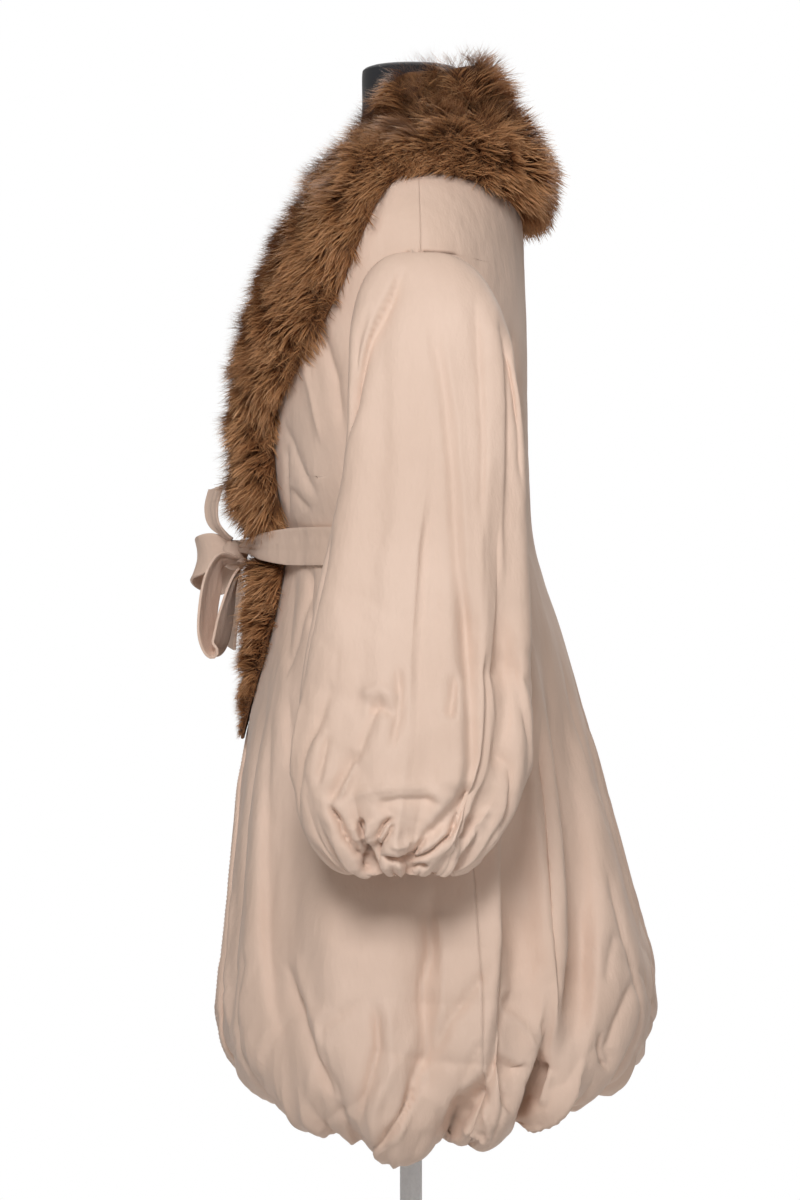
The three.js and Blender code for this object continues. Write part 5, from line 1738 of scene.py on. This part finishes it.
@dataclass
class Sash:
    """The sash, its knot, its two loops and its two ends."""

    material: Material
    steps: int = 9
    columns: int = 13

    def path(self, stations: Sequence[RibbonStation]) -> tuple[Array, Array, Array]:
        """A ribbon's middle line, the directions across it and its width's shares, on a smooth curve."""
        table = Table(stations)
        row = np.linspace(0, len(stations) - 1, (len(stations) - 1) * self.steps + 1)
        middle = np.stack([table.at(k, row) for k in ("x", "y", "z")], -1)
        across = np.stack([table.at(k, row) for k in ("across_x", "across_y", "across_z")], -1)
        return middle, across, table.at("share", row)

    def ribbon_surface(self, stations: Sequence[RibbonStation], seed: int) -> Array:
        """The outer surface of a ribbon along its stations."""
        middle, across, share = self.path(stations)
        ahead = unit(np.gradient(middle, axis=0))
        normal = unit(np.cross(ahead, across))
        edge = np.cross(normal, ahead)
        place = np.linspace(-0.5, 0.5, self.columns)
        squeeze = 1.0 - share
        random = np.random.default_rng(seed)
        phase = random.uniform(0, 6.28, 3)
        drift = 1.3 * np.linspace(0, 1, len(share))[:, None]
        pleat = sum(
            np.sin(place[None, :] * (2 * math.pi) * count + phase[k] + drift)
            for k, count in enumerate((2.0, 3.4, 1.1))
        )
        relief = pleat * (0.1 + 1.4 * squeeze[:, None])
        cup = -2.2 * (4 * place**2)[None, :] * (1 - squeeze[:, None])
        points = middle[:, None] + edge[:, None] * (place[None, :] * SASH_WIDTH * share[:, None])[..., None]
        return points + normal[:, None] * (relief * 0.55 + cup * 0.4)[..., None]

    def belt_surface(self) -> Array:
        """The outer surface of the sash's left half, from its knot to the side seam."""
        row = np.linspace(len(SASH_ANGLES) - 1, 0, (len(SASH_ANGLES) - 1) * self.steps + 1)
        index = np.arange(len(SASH_ANGLES))
        angle, lift, share = (np.interp(row, index, v) for v in (SASH_ANGLES, SASH_LIFTS, SASH_SHARES))
        place = np.linspace(-0.5, 0.5, self.columns)[:, None]
        level = WAIST_LEVEL + place * share[None, :] * SASH_LEVELS
        angles = np.broadcast_to(angle[None, :], level.shape)
        pleat = np.sin(place * 17 + 2.0) * 0.7 + np.sin(place * 29 + angles * 0.05) * 0.4
        squeeze = 1.0 - share[None, :]
        height = lift[None, :] + SASH_THICKNESS + pleat * (0.3 + 2.4 * squeeze)
        return coat_point(angles, level) + coat_normal(angles, level) * height[..., None]

    def ribbon(self, name: str, points: Array, node: str, mirror: bool = False) -> None:
        """A ribbon with its thickness and softened edges."""
        source = link_object(name + "_source", grid_mesh(name, points, closed=False))
        wall = source.modifiers.new("wall", "SOLIDIFY")
        wall.thickness = SASH_THICKNESS * MM
        wall.offset = -1.0
        edge = source.modifiers.new("edge", "BEVEL")
        edge.width = 0.7 * MM
        edge.segments = 2
        edge.limit_method = "ANGLE"
        edge.angle_limit = math.radians(50)
        made = evaluated_copy(source, name)
        if mirror:
            mirror_object(made)
        finish_piece(made, self.material, CLOTH_SLOT, node)

    def knot(self) -> None:
        """The knot: the sash wrapped round itself, with its folds running round it."""
        rows, columns = 36, 48
        polar = np.linspace(0.04, math.pi - 0.04, rows)[:, None]
        turn = np.linspace(0, 2 * math.pi, columns, endpoint=False)[None, :]
        radius = np.sin(polar) ** 0.7
        fold = 1.0 + 0.05 * np.sin(9 * polar + 1.5 * np.sin(turn)) + 0.03 * np.sin(3 * turn + 2)
        half_x, half_y, half_z = KNOT_HALF_SIZE
        x = half_x * radius * np.cos(turn) * fold
        y = half_y * radius * np.sin(turn) * fold
        z = half_z * np.cos(polar) * np.ones_like(turn)
        name = "sash_knot"
        mesh = grid_mesh(name, np.stack([x, y, z], -1) + np.array(KNOT_CENTRE), closed=True)
        finish_piece(link_object(name, mesh), self.material, CLOTH_SLOT, "bow_knot")

    def build(self) -> None:
        """Makes the sash and its bow."""
        belt = self.belt_surface()
        self.ribbon("sash_band_left", belt, "sash_left")
        self.ribbon("sash_band_right", belt, "sash_right", mirror=True)
        for name, stations, seed, length, node in BOW_PARTS:
            self.ribbon(name, self.ribbon_surface(stations, seed), node)
        out = grid_normals(belt, closed=False)
        for side, flip in (("left", 1.0), ("right", -1.0)):
            lines = [(belt[k] - out[k] * SASH_STITCH_LIFT) * [flip, 1.0, 1.0] for k in (1, -2)]
            Stitching(f"sash_stitches_{side}", self.material).build(lines)
        self.knot()


@dataclass
class DressForm:
    """The limbless form and its stand."""

    jersey: Material
    lacquer: Material
    columns: int = 96

    def build(self, nodes: dict[str, Object]) -> None:
        """Makes the smooth form, and dresses the stand's solids.

        Args:
            nodes: The part's solids by name.
        """
        turns = (np.arange(self.columns) * 360.0 / self.columns)[None, :]
        neck = Table(FORM_NECK)
        torso = Table(FORM_TORSO)
        neck_rows = np.linspace(0, len(FORM_NECK) - 1, 33)[:, None]
        torso_rows = np.linspace(0, len(FORM_TORSO) - 1, 65)[:, None]
        shoulder = np.array(FORM_SHOULDER_LEVELS)[:, None]
        depth = CLOTH_WALL + FORM_CLEARANCE
        shoulder_points = coat_point(turns, shoulder) - coat_normal(turns, shoulder) * depth
        points = np.concatenate(
            [neck.ring_point(turns, neck_rows), shoulder_points, torso.ring_point(turns, torso_rows)]
        )
        cap = points[:1].mean(axis=1, keepdims=True)
        foot = points[-1:].mean(axis=1, keepdims=True)
        caps = [cap + (points[:1] - cap) * share for share in (0.02, 0.5, 0.94)]
        feet = [foot + (points[-1:] - foot) * share for share in (0.94, 0.5, 0.02)]
        points = np.concatenate([*caps, points, *feet])
        name = "form_torso"
        made = link_object(name, grid_mesh(name, points, closed=True))
        finish_piece(made, self.jersey, FORM_SLOT, "dress_form")
        for node in ("stand_pole", "stand_socket", "stand_base"):
            dress(nodes[node], self.lacquer)


WHITE = (1.0, 1.0, 1.0, 1.0)
WARM_WHITE = (1.0, 0.9, 0.8, 1.0)
COAT_MIDDLE = (0.1, 0.0, 0.95)
# Each light: its name, its place, its size in metres and its power in watts.
AREA_LIGHTS = (
    ("key", (2.5, -0.32, 2.3), 0.9, 54.0),
    ("fill", (2.6, 2.2, 2.1), 1.5, 9.0),
    ("rear", (-2.0, 0.6, 3.2), 2.0, 70.0),
)


@dataclass(frozen=True)
class Studio:
    """The camera, the lights, the white surround and the pale floor, whose rim glows with painted light."""

    camera_distance: float = 4.0
    camera_height: float = 0.967
    camera_y: float = -0.011
    lens: float = 120.0
    surround: float = 0.17
    floor_radius: float = 2.2
    floor_drop: float = 0.2

    def camera(self) -> None:
        """Sets the camera at the photo's place, level and square to the coat's left side."""
        data = bpy.data.cameras.new("camera")
        data.lens = self.lens
        data.sensor_width = 36.0
        data.clip_end = 50.0
        made = link_object("camera", data)
        made.location = (self.camera_distance, self.camera_y, self.camera_height)
        made.rotation_euler = (math.pi / 2, 0.0, math.pi / 2)
        bpy.context.scene.camera = made

    def area_light(self, name: str, place: Sequence[float], size: float, power: float) -> None:
        """A square soft light that looks at the coat's middle."""
        data = bpy.data.lights.new(name, "AREA")
        data.size = size
        data.energy = power
        made = link_object(name, data)
        made.location = place
        towards = Vector(COAT_MIDDLE) - Vector(place)
        made.rotation_euler = towards.to_track_quat("-Z", "Y").to_euler()

    def world(self) -> None:
        """A white surround, which lights the coat more softly than it looks."""
        world = bpy.data.worlds.new("surround")
        world.use_nodes = True
        bench = NodeBench(world.node_tree)
        world.node_tree.nodes.clear()
        seen, lit = (
            bench.add("ShaderNodeBackground", {"Color": colour, "Strength": strength}).outputs[0]
            for colour, strength in ((WHITE, 1.0), (WARM_WHITE, self.surround))
        )
        is_seen = bench.add("ShaderNodeLightPath").outputs["Is Camera Ray"]
        mix = bench.add("ShaderNodeMixShader", {0: is_seen, 1: lit, 2: seen})
        bench.add("ShaderNodeOutputWorld", {"Surface": mix.outputs[0]})
        bpy.context.scene.world = world

    def floor(self) -> None:
        """A pale floor whose rim glows white with painted light, so that its edge fades into the white
        surround.
        """
        columns = 64
        turns = np.linspace(0, 2 * math.pi, columns, endpoint=False)[None, :]
        radii = np.array([0.01, 0.5, 1.0])[:, None] * self.floor_radius / MM
        level = np.full((len(radii), columns), -self.floor_drop)
        points = np.stack([radii * np.cos(turns), radii * np.sin(turns), level], -1)
        made = link_object("floor", grid_mesh("floor", points, closed=True))
        material, bench, shader, place = blank_material("pale_floor_with_painted_glow")
        bench.set(shader, {"Base Color": (0.7, 0.7, 0.7, 1.0), "Roughness": 0.9})
        reach = bench.add("ShaderNodeVectorMath", {0: place}, operation="LENGTH").outputs["Value"]
        limits = {"From Min": self.floor_radius * 0.2, "From Max": self.floor_radius * 0.98}
        share = bench.add("ShaderNodeMapRange", {**limits, "Value": reach}, interpolation_type="SMOOTHSTEP")
        # Painted light: the floor glows white towards its rim, so that its edge fades into the white
        # surround.
        painted_rim_glow = bench.add("ShaderNodeEmission").outputs[0]
        mix = bench.add("ShaderNodeMixShader", {0: share.outputs["Result"], 1: shader.outputs[0], 2: painted_rim_glow})
        bench.set(material.node_tree.nodes["Material Output"], {"Surface": mix.outputs[0]})
        made.data.materials.append(material)

    def build(self) -> None:
        """Makes the studio."""
        self.camera()
        for light in AREA_LIGHTS:
            self.area_light(*light)
        self.world()
        self.floor()
        bpy.context.scene.view_settings.view_transform = "Standard"


def main() -> None:
    """Builds the coat, its form and the studio."""
    logging.basicConfig(level=logging.INFO, format="%(name)s: %(message)s")
    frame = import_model()
    Studio().build()
    cotton = ClothFinish().material()
    fur = FurFinish()
    hair_material, skin_material = fur.material(), fur.skin_material()
    CoatBody(cotton).build()
    for side in ("left", "right"):
        Sleeve(side, cotton).build()
        FurCollar(side, FUR_SEEDS[side]).build(hair_material, skin_material)
    Sash(cotton).build()
    DressForm(JerseyFinish().material(), LacquerFinish().material()).build(frame["nodes"])


if __name__ == "__main__":
    main()
